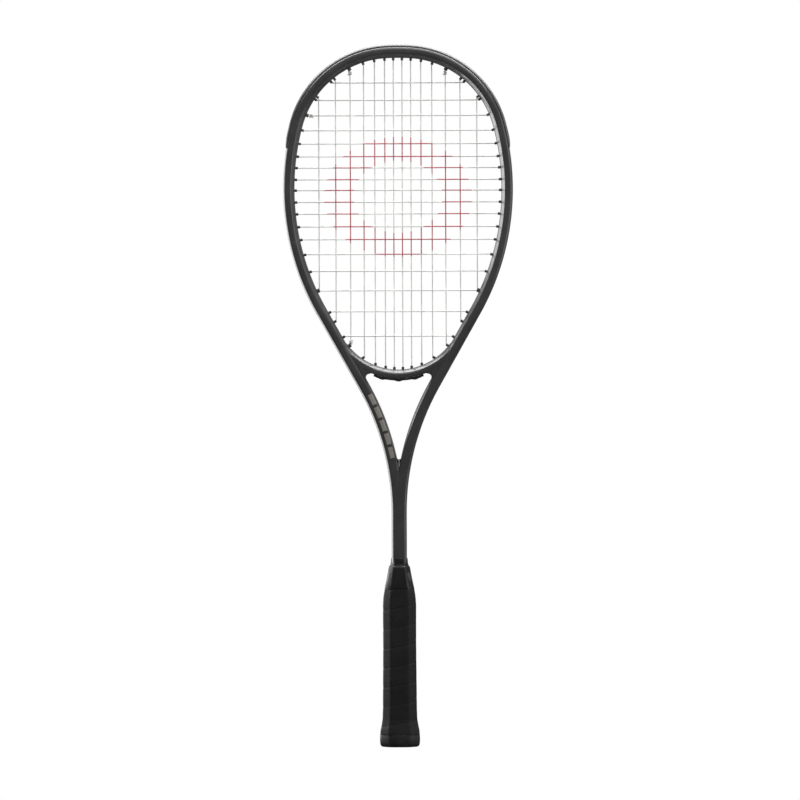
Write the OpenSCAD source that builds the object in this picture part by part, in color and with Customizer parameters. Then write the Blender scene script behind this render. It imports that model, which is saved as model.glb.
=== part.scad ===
// Squash racket: a hollow carbon frame with a bonded throat bridge, a head guard and
// grommet strips, a two-piece woven string bed and a built-up wrapped handle.
// +Z runs up the shaft from the butt, the strings lie in the plane Y = 0, front is -Y.

/* [Frame outline] */
// Length from the butt to the top of the head guard
overall_l = 685.8; // [684:0.1:688]
// Radius of the tube's centreline at the crown of the hoop
crown_r = 190; // [180:1:200]
// Heading where the crown meets the shoulder, from level
crown_a = 4; // [3:0.5:5]
// Radius of the shoulders of the hoop
shoulder_r = 95; // [94:0.5:96]
// Heading where the shoulder meets the side of the hoop
shoulder_a = 75; // [74:0.5:76]
// Radius of the sides of the hoop
side_r = 243; // [240:1:246]
// Heading of the straight arms of the throat
arm_a = 119.4; // [119:0.1:120]
// Radius of the bend from the arms into the shaft
bend_r = 254.6; // [252:0.2:257]

/* [Frame tube] */
// Width of the tube in the plane of the strings
tube_w = 11.2; // [11:0.1:11.4]
// Depth of the tube, front to back
tube_d = 19; // [18.6:0.1:19.4]
// Width of the shaft seen from the front
shaft_w = 14.9; // [14.7:0.1:15.1]
// Height of the lower end of the carbon tube inside the handle
shaft_low = 14; // [12:1:20]
// Thickness of the throat bridge in the plane of the strings
bridge_t = 8.8; // [8.6:0.1:9]
// Depth of the throat bridge
bridge_d = 17; // [16.6:0.1:17.4]

/* [Head guard and grommets] */
// How far the head guard stands out of the tube
guard_proud = 1.8; // [1.6:0.1:2]
// Height of the lower ends of the head guard
guard_low = 584; // [583:0.5:585]
// Outer diameter of a grommet barrel
barrel_d = 2.7; // [2.5:0.1:2.8]
// Outer diameter of a barrel that two strings share
tie_barrel_d = 3.8; // [3.7:0.1:3.9]
// How far the barrels stand out inside the hoop
stub_l = 2.4; // [2.2:0.1:2.6]

/* [Strings] */
// Diameter of the string
string_d = 1.2; // [1.1:0.05:1.25]
// Distance of a string's centre from the string plane at a crossing
weave = 0.65; // [0.65:0.01:0.68]
// Sideways places of the main strings on one half
main_x = [4.2, 12.7, 22.6, 33.3, 46.5, 60.8, 77.2];
// Heights of the cross strings from the top down
cross_z = [648.5, 631.5, 616.5, 602, 589, 576.5, 565.5, 554, 543.5, 532, 520.5, 508, 495.5, 481, 464.5,
    445.5, 425, 401];

/* [Handle] */
// Width of the wrapped grip
grip_w = 32.3; // [32:0.1:32.6]
// Depth of the wrapped grip
grip_d = 28.5; // [28.2:0.1:28.8]
// Thickness of the grip tape
tape_t = 1.6; // [1.4:0.1:1.8]
// Greatest width of the butt
butt_w = 39.2; // [39:0.1:39.5]
// Greatest depth of the butt
butt_d = 35.2; // [35:0.1:35.5]
// Height of the lower edge of the grip tape
tape_low = 12.4; // [12:0.1:13]
// Height where the straight grip starts to taper
taper_low = 138; // [136:1:140]
// Height of the upper end of the handle's halves
pallet_top = 172; // [171:0.5:173]
// Height of the top of the rubber collar
collar_top = 184.3; // [184:0.1:185]

/* [Hidden] */
$fn = 48;

gap = 0.05;
half_w = tube_w / 2;
half_d = tube_d / 2;
centre_z = overall_l - guard_proud - half_w;
shaft_x = shaft_w / 2 - half_w;

// Depth of the string groove's floor, the strip on it and the strings on that, from the centreline
groove_u = 2.8;
groove_half = 2.7;
base_t = 1;
base_u = groove_u + gap;
base_top = base_u + base_t;
wall_in = 2;
wall_out = groove_half - gap;
string_u = base_top + string_d / 2 + gap;
lane = 1.3;

// Centres of the three arcs of the hoop's right half, and the arm that follows them
function out(h) = [sin(h), cos(h)];
function along(h) = [cos(h), -sin(h)];
crown_c = [0, centre_z - crown_r];
shoulder_c = crown_c + (crown_r - shoulder_r) * out(crown_a);
side_c = shoulder_c + (shoulder_r - side_r) * out(shoulder_a);
arm_start = side_c + side_r * out(arm_a);
arm_l = (arm_start[0] - shaft_x - bend_r * (1 - sin(arm_a))) / -cos(arm_a);
arm_end = arm_start + arm_l * along(arm_a);
bend_c = arm_end + bend_r * out(arm_a);
shaft_top = bend_c[1];
groove_end = 70;

// The bridge's inner arc runs tangent to the inner faces of both arms
bridge_low = 368.3;
bridge_r = (arm_start[0] * sin(arm_a) + (arm_start[1] - bridge_low) * cos(arm_a) - half_w)
    / (1 + cos(arm_a));
bridge_c = [0, bridge_low + bridge_r];
bridge_out = bridge_r + bridge_t;

function unit(v) = v / norm(v);

// A polygon with each corner turned into a short curve that leaves its sides at a distance of r
function softened(pts, r, n = 2) = [for (i = [0 : len(pts) - 1])
    let (p = pts[i], a = pts[(i + len(pts) - 1) % len(pts)], b = pts[(i + 1) % len(pts)])
    let (s = p + r * unit(a - p), e = p + r * unit(b - p))
    for (k = [0 : n]) let (t = k / n) (1 - t) * (1 - t) * s + 2 * t * (1 - t) * p + t * t * e];

// Sections: first coordinate outward from the hoop, second along its depth
function mirrored(pts) = concat(pts, [for (i = [len(pts) - 1 : -1 : 0]) [pts[i][0], -pts[i][1]]]);
tube_outline = mirrored([[-half_w, -2], [-2, -half_d], [half_w - 2, -half_d], [half_w, -half_d + 3]]);
cavity_outline = mirrored([[-4.3, -2], [-1.6, -8.2], [2.7, -8.2], [3.9, -6], [1.5, -4]]);
strip_outline = mirrored([[base_u, -wall_out], [half_w - 0.1, -wall_out], [half_w - 0.1, -wall_in],
    [base_top, -wall_in]]);
guard_top = half_w + guard_proud;
guard_outline = mirrored([[base_u, -wall_out], [half_w + gap, -wall_out], [half_w + gap, -6.5],
    [half_w - 0.9, -7.95], [half_w, -8.2], [half_w + 1.2, -7.2], [guard_top, -5.6],
    [guard_top, -wall_in], [base_top, -wall_in]]);

// ---- sweeping a section along the frame ----

module at_arc(c, r, h0, h1) {
    translate([c[0], 0, c[1]]) rotate([90, 0, 0])
        rotate_extrude(angle = h1 - h0, start = 90 - h1) translate([r, 0]) children();
}

module at_bend() {
    translate([bend_c[0], 0, bend_c[1]]) rotate([90, 0, 0])
        rotate_extrude(angle = arm_a - 90, start = 270 - arm_a)
            translate([bend_r, 0]) mirror([1, 0]) children();
}

module at_line(p, h, l) {
    translate([p[0], 0, p[1]]) rotate([0, 90 + h, 0]) linear_extrude(l) mirror([1, 0]) children();
}

module both_sides() {
    children();
    mirror([1, 0, 0]) children();
}

// The arcs of one half of the hoop, between two headings
module half_hoop(from = 0, to = 180) {
    if (from < crown_a) at_arc(crown_c, crown_r, from, min(to, crown_a)) children();
    if (from < shoulder_a && to > crown_a)
        at_arc(shoulder_c, shoulder_r, max(from, crown_a), min(to, shoulder_a)) children();
    if (from < arm_a && to > shoulder_a)
        at_arc(side_c, side_r, max(from, shoulder_a), min(to, arm_a)) children();
}

module arm(l = arm_l) {
    at_line(arm_start, arm_a, l) children();
}

// ---- where the strings pass through the frame ----

// A hole is [inner end of its barrel, heading, distance from there to the outer strip, shared]
stub_u = half_w + stub_l;
bore_l = stub_u + base_top;

function top_main_hole(x) = let (h = asin(x / (crown_r - stub_u)))
    h < crown_a ? crown_hole(h) : shoulder_hole(asin((x - shoulder_c[0]) / (shoulder_r - stub_u)));
function crown_hole(h) = [crown_c + (crown_r - stub_u) * out(h), h, bore_l];
function shoulder_hole(h) = [shoulder_c + (shoulder_r - stub_u) * out(h), h, bore_l];
function side_hole(h) = [side_c + (side_r - stub_u) * out(h), h, bore_l];
function arm_hole(t) = [arm_start + t * along(arm_a) - stub_u * out(arm_a), arm_a, bore_l];
function cross_hole(z) = let (h = acos((z - shoulder_c[1]) / (shoulder_r - stub_u)),
        g = acos((z - side_c[1]) / (side_r - stub_u)))
    z > shoulder_c[1] && h < shoulder_a ? shoulder_hole(h) : g < arm_a ? side_hole(g)
    : arm_hole((arm_start[1] - stub_u * cos(arm_a) - z) / sin(arm_a));
// Below, the outer two mains reach the side and the arm, the next two pass the corner of the
// bridge and the rest go straight down through it
function corner_hole(x) = let (r = bridge_r - stub_l, e = [x, bridge_c[1] - sqrt(r * r - x * x)])
    [e, arm_a, (arm_start - e) * out(arm_a) + base_top];
function bridge_hole(x) = let (e = [x, bridge_c[1] - sqrt(bridge_r * bridge_r - x * x) + stub_l])
    [e, 180, e[1] - bridge_c[1] + sqrt(pow(bridge_out + base_t, 2) - x * x)];
function low_main_hole(x) = let (h = 180 - asin((x - side_c[0]) / (side_r - stub_u)))
    x > 70 ? side_hole(h)
    : x > 50 ? arm_hole((arm_start[0] - stub_u * sin(arm_a) - x) / -cos(arm_a))
    : x > 28 ? corner_hole(x) : bridge_hole(x);

guard_a = acos((guard_low - side_c[1]) / side_r);
top_holes = [for (x = main_x) top_main_hole(x)];
low_holes = [for (x = main_x) low_main_hole(x)];
cross_holes = [for (z = cross_z) cross_hole(z)];
guard_rows = 4;
tie_main = 4;
tie_cross = 2;

// A round bar along a hole's axis, from a to b counted outward from the barrel's inner end
module hole_bar(hole, a, b, d, side = 1) {
    translate([side * hole[0][0], 0, hole[0][1]]) rotate([0, side * hole[1], 0])
        translate([0, 0, a]) cylinder(d = d, h = b - a, $fn = 24);
}

function is_tie_top(i) = i == tie_main;
function is_tie_cross(i, side) = i == tie_cross && side < 0;
function is_tie_low(i, side) = i == tie_main && side < 0;
function barrel(shared) = shared ? tie_barrel_d : barrel_d;

module barrels(hole, side, shared) {
    hole_bar(hole, 0, hole[2] - base_t / 2, barrel(shared), side);
}

module bores(hole, side, shared) {
    hole_bar(hole, -1, hole[2] + 1, barrel(shared) - 1, side);
    hole_bar(hole, hole[2] - base_t * 0.6, hole[2] + 1, barrel(shared) + 0.2, side);
}

module frame_bores(grow) {
    for (side = [-1, 1]) {
        for (i = [0 : len(main_x) - 1])
            hole_bar(top_holes[i], 1, bore_l + 4, barrel(is_tie_top(i)) + grow, side);
        for (i = [0 : len(cross_z) - 1])
            hole_bar(cross_holes[i], 1, bore_l + 4, barrel(is_tie_cross(i, side)) + grow, side);
        for (i = [3 : len(main_x) - 1])
            hole_bar(low_holes[i], 1, low_holes[i][2] + 4, barrel(is_tie_low(i, side)) + grow, side);
    }
}

module bridge_bores(grow) {
    for (side = [-1, 1]) {
        for (i = [0 : 2])
            hole_bar(low_holes[i], 1, low_holes[i][2] + 4, barrel_d + grow, side);
        for (i = [3, 4])
            hole_bar(low_holes[i], 1, low_holes[i][2] + 4, barrel(is_tie_low(i, side)) + grow, side);
    }
}

// ---- frame ----

web_z = 279.4;
web_r = 1.45;
web_d = 14;

module tube_shape() {
    polygon(softened(tube_outline, 1.3));
}

module hollow_shape() {
    difference() {
        tube_shape();
        polygon(cavity_outline);
    }
}

module grooved_shape() {
    difference() {
        hollow_shape();
        translate([groove_u, -groove_half]) square([4, 2 * groove_half]);
    }
}

// The hoop and the upper arms, with the groove and the holes for the grommets
module strung_tube() {
    difference() {
        both_sides() {
            half_hoop() grooved_shape();
            arm(groove_end) grooved_shape();
        }
        frame_bores(0.2);
    }
}

// Both arms bend into the shaft, where they share a web down the middle
module joined_bends() {
    difference() {
        union() {
            both_sides() at_bend() tube_shape();
            difference() {
                translate([-3, -web_d / 2, web_z - 14]) cube([6, web_d, 14 + web_r]);
                translate([0, 0, web_z + web_r]) rotate([90, 0, 0])
                    cylinder(r = web_r, h = web_d + 2, center = true);
            }
        }
        difference() {
            both_sides() at_bend() polygon(cavity_outline);
            translate([-0.5, -half_d, shaft_top - 1]) cube([1, tube_d, web_z]);
        }
    }
}

module shaft() {
    translate([0, 0, shaft_low]) linear_extrude(shaft_top - shaft_low) difference() {
        for (s = [0, 1]) mirror([s, 0]) translate([shaft_x, 0]) tube_shape();
        difference() {
            for (s = [0, 1]) mirror([s, 0]) translate([shaft_x, 0]) polygon(cavity_outline);
            square([1, tube_d], center = true);
        }
    }
}

module frame_tube() {
    color("dimgray") {
        strung_tube();
        both_sides() at_line(arm_start + groove_end * along(arm_a), arm_a, arm_l - groove_end)
            hollow_shape();
        joined_bends();
        shaft();
    }
}

// ---- throat bridge ----

corner_r = 3.2;
corner_c = [28.8, 360.9];
bridge_end = 6.5;

module at_bridge(h0, h1) {
    translate([0, 0, bridge_c[1]]) rotate([90, 0, 0])
        rotate_extrude(angle = h1 - h0, start = 90 - h1) children();
}

module bridge_foot() {
    arm_in = arm_start - half_w * out(arm_a);
    arc = [for (a = [90 : -20 : 90 - arm_a]) corner_c + corner_r * [cos(a), sin(a)]];
    foot = concat([[18, bridge_c[1] - bridge_out + 6], [26, 364.95]], arc,
        [corner_c + corner_r * out(arm_a), corner_c + (corner_r + 3) * out(arm_a), [50, 385]]);
    rotate([90, 0, 0]) linear_extrude(bridge_d, center = true) polygon(foot);
}

module throat_bridge() {
    b = bridge_d / 2;
    low = arm_a + bridge_end;
    shape = [[bridge_r, -2], [bridge_r + 3.6, -b], [bridge_out, -b], [bridge_out, b], [bridge_r + 3.6, b],
        [bridge_r, 2]];
    color("dimgray") difference() {
        union() {
            at_bridge(low, 360 - low) polygon(softened(shape, 1.2));
            difference() {
                both_sides() bridge_foot();
                translate([0, 0, bridge_c[1]]) rotate([90, 0, 0])
                    cylinder(r = bridge_r + 3.6, h = tube_d, center = true, $fn = 180);
            }
        }
        both_sides() half_hoop(100) tube_shape();
        both_sides() arm() tube_shape();
        at_bridge(180 - core_a, 180 + core_a) core_shape(0);
        bridge_bores(0.2);
    }
}

core_a = 26;

module core_shape(inset) {
    translate([bridge_r + 1.5 + inset, 0]) polygon([[0, -2], [2.6, -6.8], [5.6 - 2 * inset, -6.8],
        [5.6 - 2 * inset, 6.8], [2.6, 6.8], [0, 2]]);
}

module bridge_core() {
    color("wheat") difference() {
        at_bridge(180 - core_a, 180 + core_a) core_shape(gap);
        bridge_bores(0.2);
    }
}

// ---- head guard and grommet strips ----

module head_guard() {
    color([0.1, 0.1, 0.1]) difference() {
        union() {
            both_sides() half_hoop(0, guard_a) polygon(guard_outline);
            for (side = [-1, 1]) {
                for (i = [0 : len(main_x) - 1]) barrels(top_holes[i], side, is_tie_top(i));
                for (i = [0 : guard_rows]) barrels(cross_holes[i], side, is_tie_cross(i, side));
            }
        }
        for (side = [-1, 1]) {
            for (i = [0 : len(main_x) - 1]) bores(top_holes[i], side, is_tie_top(i));
            for (i = [0 : guard_rows]) bores(cross_holes[i], side, is_tie_cross(i, side));
        }
    }
}

// A length of strip with the barrels of the crosses and of the low mains that pass through it
module strip_length(side, cross_rows, low_rows) {
    difference() {
        union() {
            mirror([side < 0 ? 1 : 0, 0, 0]) children();
            for (i = cross_rows) barrels(cross_holes[i], side, false);
            for (i = low_rows) barrels(low_holes[i], side, is_tie_low(i, side));
        }
        for (i = cross_rows) bores(cross_holes[i], side, false);
        for (i = low_rows) bores(low_holes[i], side, is_tie_low(i, side));
    }
}

// The last two crosses and three of the low mains pass through the arm
module side_strip(side) {
    last = len(cross_z) - 1;
    strip_length(side, [guard_rows + 1 : last - 2], [6]) half_hoop(guard_a + 0.3) polygon(strip_outline);
    strip_length(side, [last - 1, last], [3, 4, 5]) arm(groove_end - 1) polygon(strip_outline);
}

module grommet_strip_left() {
    color([0.08, 0.08, 0.08]) side_strip(-1);
}

module grommet_strip_right() {
    color([0.08, 0.08, 0.08]) side_strip(1);
}

throat_strip_a = 19.6;
bump_pitch = 16.3;
strip_half = 3.6;
channel_half = 1.8;

module grommet_strip_throat() {
    r = bridge_out + gap;
    section = mirrored([[r, -strip_half], [r + 2, -strip_half], [r + 2, -channel_half],
        [r + base_t, -channel_half]]);
    bump = softened([[-4.4, -0.4], [-2, 1.4], [2, 1.4], [4.4, -0.4]], 1.2);
    color([0.08, 0.08, 0.08]) difference() {
        union() {
            at_bridge(180 - throat_strip_a, 180 + throat_strip_a) polygon(section);
            for (x = [-bump_pitch, 0, bump_pitch], y = [-strip_half + 0.2, channel_half + 0.2])
                translate([0, y, bridge_c[1]]) rotate([-90, asin(x / r), 0]) translate([0, r + 1.5])
                    linear_extrude(strip_half - channel_half - 0.4) polygon(bump);
            for (side = [-1, 1], i = [0 : 2]) barrels(low_holes[i], side, false);
        }
        for (side = [-1, 1], i = [0 : 2]) bores(low_holes[i], side, false);
    }
}

// ---- strings ----

// A point on the string bed's side of a hole: u runs outward from the barrel's inner end
function in_hole(hole, side, u, y) = [side * (hole[0][0] + u * sin(hole[1])), y,
    hole[0][1] + u * cos(hole[1])];

// A place on the outside of the frame, by heading round the hoop and by length down the arm
function place_of(hole) = hole[1] < arm_a ? hole[1]
    : arm_a + (hole[0] - arm_start) * along(arm_a);
function outside(w, u) = w < crown_a ? crown_c + (crown_r + u) * out(w)
    : w < shoulder_a ? shoulder_c + (shoulder_r + u) * out(w)
    : w < arm_a ? side_c + (side_r + u) * out(w)
    : arm_start + (w - arm_a) * along(arm_a) + u * out(arm_a);
function beside(w, side, y, shift) = let (p = outside(w, string_u) + shift * along(min(w, arm_a)))
    [side * p[0], y, p[1]];

// The string's run outside the frame from one hole to another, bent over the edges of both
edge = 0.8;
steps = 3;
function outer_run(a, b, side, y) = let (wa = place_of(a), wb = place_of(b), s = wb > wa ? edge : -edge)
    concat([beside(wa, side, y, s)],
        [for (k = [1 : steps - 1]) beside(wa + (wb - wa) * k / steps, side, y, 0)],
        [beside(wb, side, y, -s)]);

// The same under the bridge, where the holes go straight down
under_r = bridge_out + 2 * gap + base_t + string_d / 2;
function under(x) = [x, 0, bridge_c[1] - sqrt(under_r * under_r - x * x)];
function bridge_run(x0, x1) = let (s = x1 > x0 ? edge : -edge)
    [under(x0 + s), under((x0 + x1) / 2), under(x1 - s)];

mains = 2 * len(main_x);
crosses = len(cross_z);
half = len(main_x);
function main_side(m) = m <= half ? -1 : 1;
function main_i(m) = m <= half ? half - m : m - half - 1;
// Which side of the string plane main m takes where it meets cross k, front being negative
function over(m, k) = (m + k) % 2 == 0 ? weave : -weave;

function crossed(m) = let (i = main_i(m)) [for (k = [0 : crosses - 1])
    if (main_x[i] < cross_holes[k][0][0] && cross_z[k] < top_holes[i][0][1]
        && cross_z[k] > low_holes[i][0][1]) k];
function met(k) = [for (m = [1 : mains]) if (len([for (c = crossed(m)) if (c == k) c]) > 0) m];
exit_u = 0.15;

// One main from the top down; where a tied end shares its hole it keeps to its own side
function main_span(m) = let (i = main_i(m), s = main_side(m), c = crossed(m), t = top_holes[i],
        l = low_holes[i], yt = i == tie_main ? over(m, c[0]) : 0,
        yl = i == tie_main && s < 0 ? over(m, c[len(c) - 1]) : 0)
    concat([in_hole(t, s, t[2] - exit_u, yt), in_hole(t, s, 0, yt)],
        [for (k = c) [s * main_x[i], over(m, k), cross_z[k]]],
        [in_hole(l, s, 0, yl), in_hole(l, s, l[2] - exit_u, yl)]);

// One cross from left to right
function cross_span(k) = let (h = cross_holes[k], c = met(k), yl = k == tie_cross ? -over(c[0], k) : 0)
    concat([in_hole(h, -1, h[2] - exit_u, yl), in_hole(h, -1, 0, yl)],
        [for (m = c) [main_side(m) * main_x[main_i(m)], -over(m, k), cross_z[k]]],
        [in_hole(h, 1, 0, 0), in_hole(h, 1, h[2] - exit_u, 0)]);

function turned(pts) = [for (i = [len(pts) - 1 : -1 : 0]) pts[i]];

// A tied end: two turns around the string beside it, then a short tail
knot_r = 1.3;
knot_pitch = 1.5;
knot_steps = 8;
function knot(hole, side, dir, y) = let (e = in_hole(hole, side, 0, 0), w = [dir[2], 0, -dir[0]])
    concat([in_hole(hole, side, hole[2] - exit_u, -y), in_hole(hole, side, 0, -y)],
        [for (k = [1 : 2 * knot_steps]) let (a = 360 * k / knot_steps)
            e + (0.8 + knot_pitch * k / knot_steps) * dir + knot_r * sin(a) * w
                + [0, y - sign(y) * knot_r * cos(a), 0]],
        [e + (1.2 + 2 * knot_pitch) * dir + 2.4 * w + [0, y - sign(y) * knot_r, 0]]);

// Between two mains the string turns round the frame at the throat after every second one
function main_turn(m) = let (i = main_i(m), j = main_i(m + 1), s = main_side(m))
    m % 2 == 0 ? outer_run(top_holes[i], top_holes[j], s, 0)
    : m == 1 || m == mains - 1 ? outer_run(low_holes[i], low_holes[j], s, lane)
    : i > 2 ? outer_run(low_holes[i], low_holes[j], s, 0)
    : bridge_run(s * main_x[i], main_side(m + 1) * main_x[j]);
function main_route() = let (far = top_holes[half - 1], tie = top_holes[tie_main],
        y1 = over(half - tie_main, 0), y2 = over(half + tie_main + 1, 0))
    concat(turned(knot(tie, -1, [0, 0, -1], y1)), outer_run(tie, far, -1, -sign(y1) * lane),
        [for (m = [1 : mains]) each concat(m % 2 == 1 ? main_span(m) : turned(main_span(m)),
            m < mains ? main_turn(m) : [])],
        outer_run(far, tie, 1, -sign(y2) * lane), knot(tie, 1, [0, 0, -1], y2));

function cross_lane(k) = k == 0 ? lane : k > crosses - 4 ? -lane : 0;
function cross_route() = let (first = cross_holes[0], tie = cross_holes[tie_cross],
        last = cross_holes[crosses - 1], low = low_holes[tie_main],
        y1 = -over(met(tie_cross)[0], tie_cross), y2 = over(half - tie_main, crosses - 1))
    concat(turned(knot(tie, -1, [1, 0, 0], y1)), outer_run(tie, first, -1, -sign(y1) * lane),
        [for (k = [0 : crosses - 1]) each concat(k % 2 == 0 ? cross_span(k) : turned(cross_span(k)),
            k < crosses - 1 ? outer_run(cross_holes[k], cross_holes[k + 1], k % 2 == 0 ? 1 : -1,
                cross_lane(k)) : [])],
        outer_run(last, low, -1, -sign(y2) * lane), knot(low, -1, [0, 0, 1], y2));

// A closed tube along a route, its rings carried along without twisting
string_sides = 6;
function tangent(pts, i) = unit(pts[min(i + 1, len(pts) - 1)] - pts[max(i - 1, 0)]);

module cord(pts) {
    n = len(pts);
    m = string_sides;
    ts = [for (i = [0 : n - 1]) tangent(pts, i)];
    normals = [for (i = 0, v = unit(cross(ts[0], [0.1, 1, 0.2])); i < n;
        i = i + 1, v = i < n ? unit(v - (v * ts[i]) * ts[i]) : v) v];
    rings = [for (i = [0 : n - 1], k = [0 : m - 1]) let (q = 360 * k / m)
        pts[i] + string_d / 2 * (cos(q) * normals[i] + sin(q) * cross(ts[i], normals[i]))];
    walls = [for (i = [0 : n - 2], k = [0 : m - 1]) let (a = i * m + k, b = i * m + (k + 1) % m)
        each [[a, b + m, b], [a, a + m, b + m]]];
    caps = [[for (k = [0 : m - 1]) k], [for (k = [m - 1 : -1 : 0]) (n - 1) * m + k]];
    polyhedron(rings, concat(walls, caps));
}

module main_string() {
    color([0.92, 0.92, 0.92]) cord(main_route());
}

module cross_string() {
    color([0.85, 0.85, 0.85]) cord(cross_route());
}

// ---- handle ----

// An eight-sided section with softened corners: half width, half depth and size of the bevels
function octagon(a, b, c) = softened([[a, c - b], [a, b - c], [a - c, b], [c - a, b], [-a, b - c],
    [-a, c - b], [c - a, -b], [a - c, -b]], 1.2);

// A solid through sections [height, half width, half depth, bevel]; closed turns the last section
// back to the first, as in a sleeve
module loft(sections, closed = false) {
    m = len(octagon(10, 10, 4));
    n = len(sections);
    points = [for (s = sections, p = octagon(s[1], s[2], s[3])) [p[0], p[1], s[0]]];
    last = closed ? n - 1 : n - 2;
    walls = [for (i = [0 : last], k = [0 : m - 1])
        let (a = i * m + k, b = i * m + (k + 1) % m, c = ((i + 1) % n) * m)
        each [[a, c + k, c + (k + 1) % m], [a, c + (k + 1) % m, b]]];
    caps = closed ? [] : [[for (k = [0 : m - 1]) k], [for (k = [m - 1 : -1 : 0]) (n - 1) * m + k]];
    polyhedron(points, concat(walls, caps));
}

// The outside of the wrapped grip, from the butt to its top
grip_a = grip_w / 2;
grip_b = grip_d / 2;
bevel = 8.1;
butt_a = butt_w / 2;
butt_b = butt_d / 2;
tape_top = pallet_top - 2;
grip_outside = [
    [tape_low, butt_a - 0.3, butt_b - 0.3, 9],
    [tape_low + 3.6, butt_a - 0.6, butt_b - 0.7, 9],
    [tape_low + 8, grip_a + 1.9, grip_b + 1.8, 8.6],
    [tape_low + 14, grip_a + 0.9, grip_b + 0.8, 8.3],
    [tape_low + 24, grip_a + 0.5, grip_b + 0.4, bevel],
    [100, grip_a, grip_b, bevel],
    [taper_low, grip_a + 0.1, grip_b, bevel],
    [taper_low + 8, grip_a - 0.5, grip_b - 0.2, 7.6],
    [taper_low + 16, grip_a - 2.1, grip_b - 0.8, 6.6],
    [tape_top - 8, grip_a - 4.2, grip_b - 1.4, 5.4],
    [tape_top, grip_a - 5.7, grip_b - 2, 4.6],
];

function shrunk(sections, t) = [for (s = sections) [s[0], s[1] - t, s[2] - t, s[3] - 0.58 * t]];
function sleeve(sections, t) = concat(sections, turned(shrunk(sections, t)));
function part_of(sections, low, high) = [for (s = sections) if (s[0] >= low && s[0] <= high) s];

cap_top = tape_low + 14;
cap_wall = 1.4;
cap_floor = 3;
pallet_low = cap_floor + gap;
staple_d = 0.9;
staple_z = 21;
staple_w = 9;
staple_leg = 3.6;
cap_staple_y = 14.4;
grip_staple_x = 16.3;

module handle_solid() {
    top = pallet_top - tape_top;
    body = shrunk(part_of(grip_outside, cap_top + 1, tape_top), tape_t + gap);
    low = shrunk([part_of(grip_outside, cap_top, cap_top)[0]], tape_t + cap_wall + gap)[0];
    end = body[len(body) - 1];
    foot = [[pallet_low, low[1], low[2], low[3]], [cap_top + gap, low[1], low[2], low[3]],
        [cap_top + 2, low[1] + 1, low[2] + 1, low[3]]];
    loft(concat(foot, body, [[end[0] + top, end[1] - 0.2, end[2] - 0.2, end[3]]]));
}

module shaft_hole(grow) {
    a = shaft_w / 2 + grow;
    b = half_d + grow;
    translate([0, 0, shaft_low - gap]) linear_extrude(200)
        polygon([[a, -b + 3], [a, b - 3], [a - 2, b], [2 - a, b], [-a, b - 3], [-a, 3 - b],
            [2 - a, -b], [a - 2, -b]]);
}

// A staple across the flat face that looks along angle, its crown at distance r
module staple(angle, r) {
    rotate([0, 0, angle]) translate([0, -r, staple_z]) {
        rotate([0, 90, 0]) cylinder(d = staple_d, h = staple_w + staple_d, center = true);
        for (x = [-staple_w / 2, staple_w / 2])
            translate([x, staple_leg / 2, 0]) rotate([90, 0, 0])
                cylinder(d = staple_d, h = staple_leg, center = true);
    }
}

// The slots that the staples sit in
module staple_slot(angle, r) {
    d = staple_d + 0.3;
    rotate([0, 0, angle]) translate([0, -r, staple_z]) {
        translate([0, -1, 0]) cube([staple_w + d, 2 + d, d], center = true);
        for (x = [-staple_w / 2, staple_w / 2])
            translate([x, staple_leg / 2, 0]) cube([d, staple_leg + d, d], center = true);
    }
}

module all_slots() {
    staple_slot(0, cap_staple_y);
    staple_slot(180, cap_staple_y);
    staple_slot(90, grip_staple_x);
}

module handle_half(side) {
    difference() {
        intersection() {
            handle_solid();
            translate([-butt_w / 2, side > 0 ? gap / 2 : -butt_w, 0]) cube([butt_w, butt_w - gap / 2, 200]);
        }
        shaft_hole(gap);
        all_slots();
    }
}

module handle_half_front() {
    color("tan") handle_half(-1);
}

module handle_half_back() {
    color("burlywood") handle_half(1);
}

badge_d = 20;
badge_t = 0.8;

module butt_cap() {
    rim = shrunk(part_of(grip_outside, tape_low, cap_top), tape_t + gap);
    top = rim[len(rim) - 1];
    inner = shrunk([top], cap_wall)[0];
    color([0.12, 0.12, 0.12]) difference() {
        loft(concat([[0, butt_a - 2.4, butt_b - 2.4, 8.4], [1.2, butt_a - 1, butt_b - 1, 8.7],
            [3.5, butt_a - 0.2, butt_b - 0.2, 9], [7, butt_a, butt_b, 9],
            [tape_low - gap, butt_a - 0.3, butt_b - 0.3, 9]], rim,
            [[top[0], inner[1], inner[2], inner[3]], [cap_floor, inner[1], inner[2], inner[3]]]));
        translate([0, 0, -1]) cylinder(d = badge_d + 2 * gap, h = badge_t + 1);
        all_slots();
    }
}

module butt_badge() {
    color([0.3, 0.3, 0.3]) difference() {
        cylinder(d = badge_d, h = badge_t);
        translate([0, 0, -1]) cylinder(d = badge_d - 8, h = 1.3);
    }
}

module cap_staples() {
    color("silver") {
        staple(0, cap_staple_y);
        staple(180, cap_staple_y);
    }
}

module grip_staple() {
    color("silver") staple(90, grip_staple_x);
}

module grip_tape() {
    color([0.13, 0.13, 0.13]) loft(sleeve(grip_outside, tape_t), true);
}

band_t = 0.25;

module finishing_tape() {
    low = shrunk(part_of(grip_outside, tape_top - 9, tape_top), -band_t - gap);
    color([0.05, 0.05, 0.05]) loft(sleeve(low, band_t), true);
}

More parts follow.
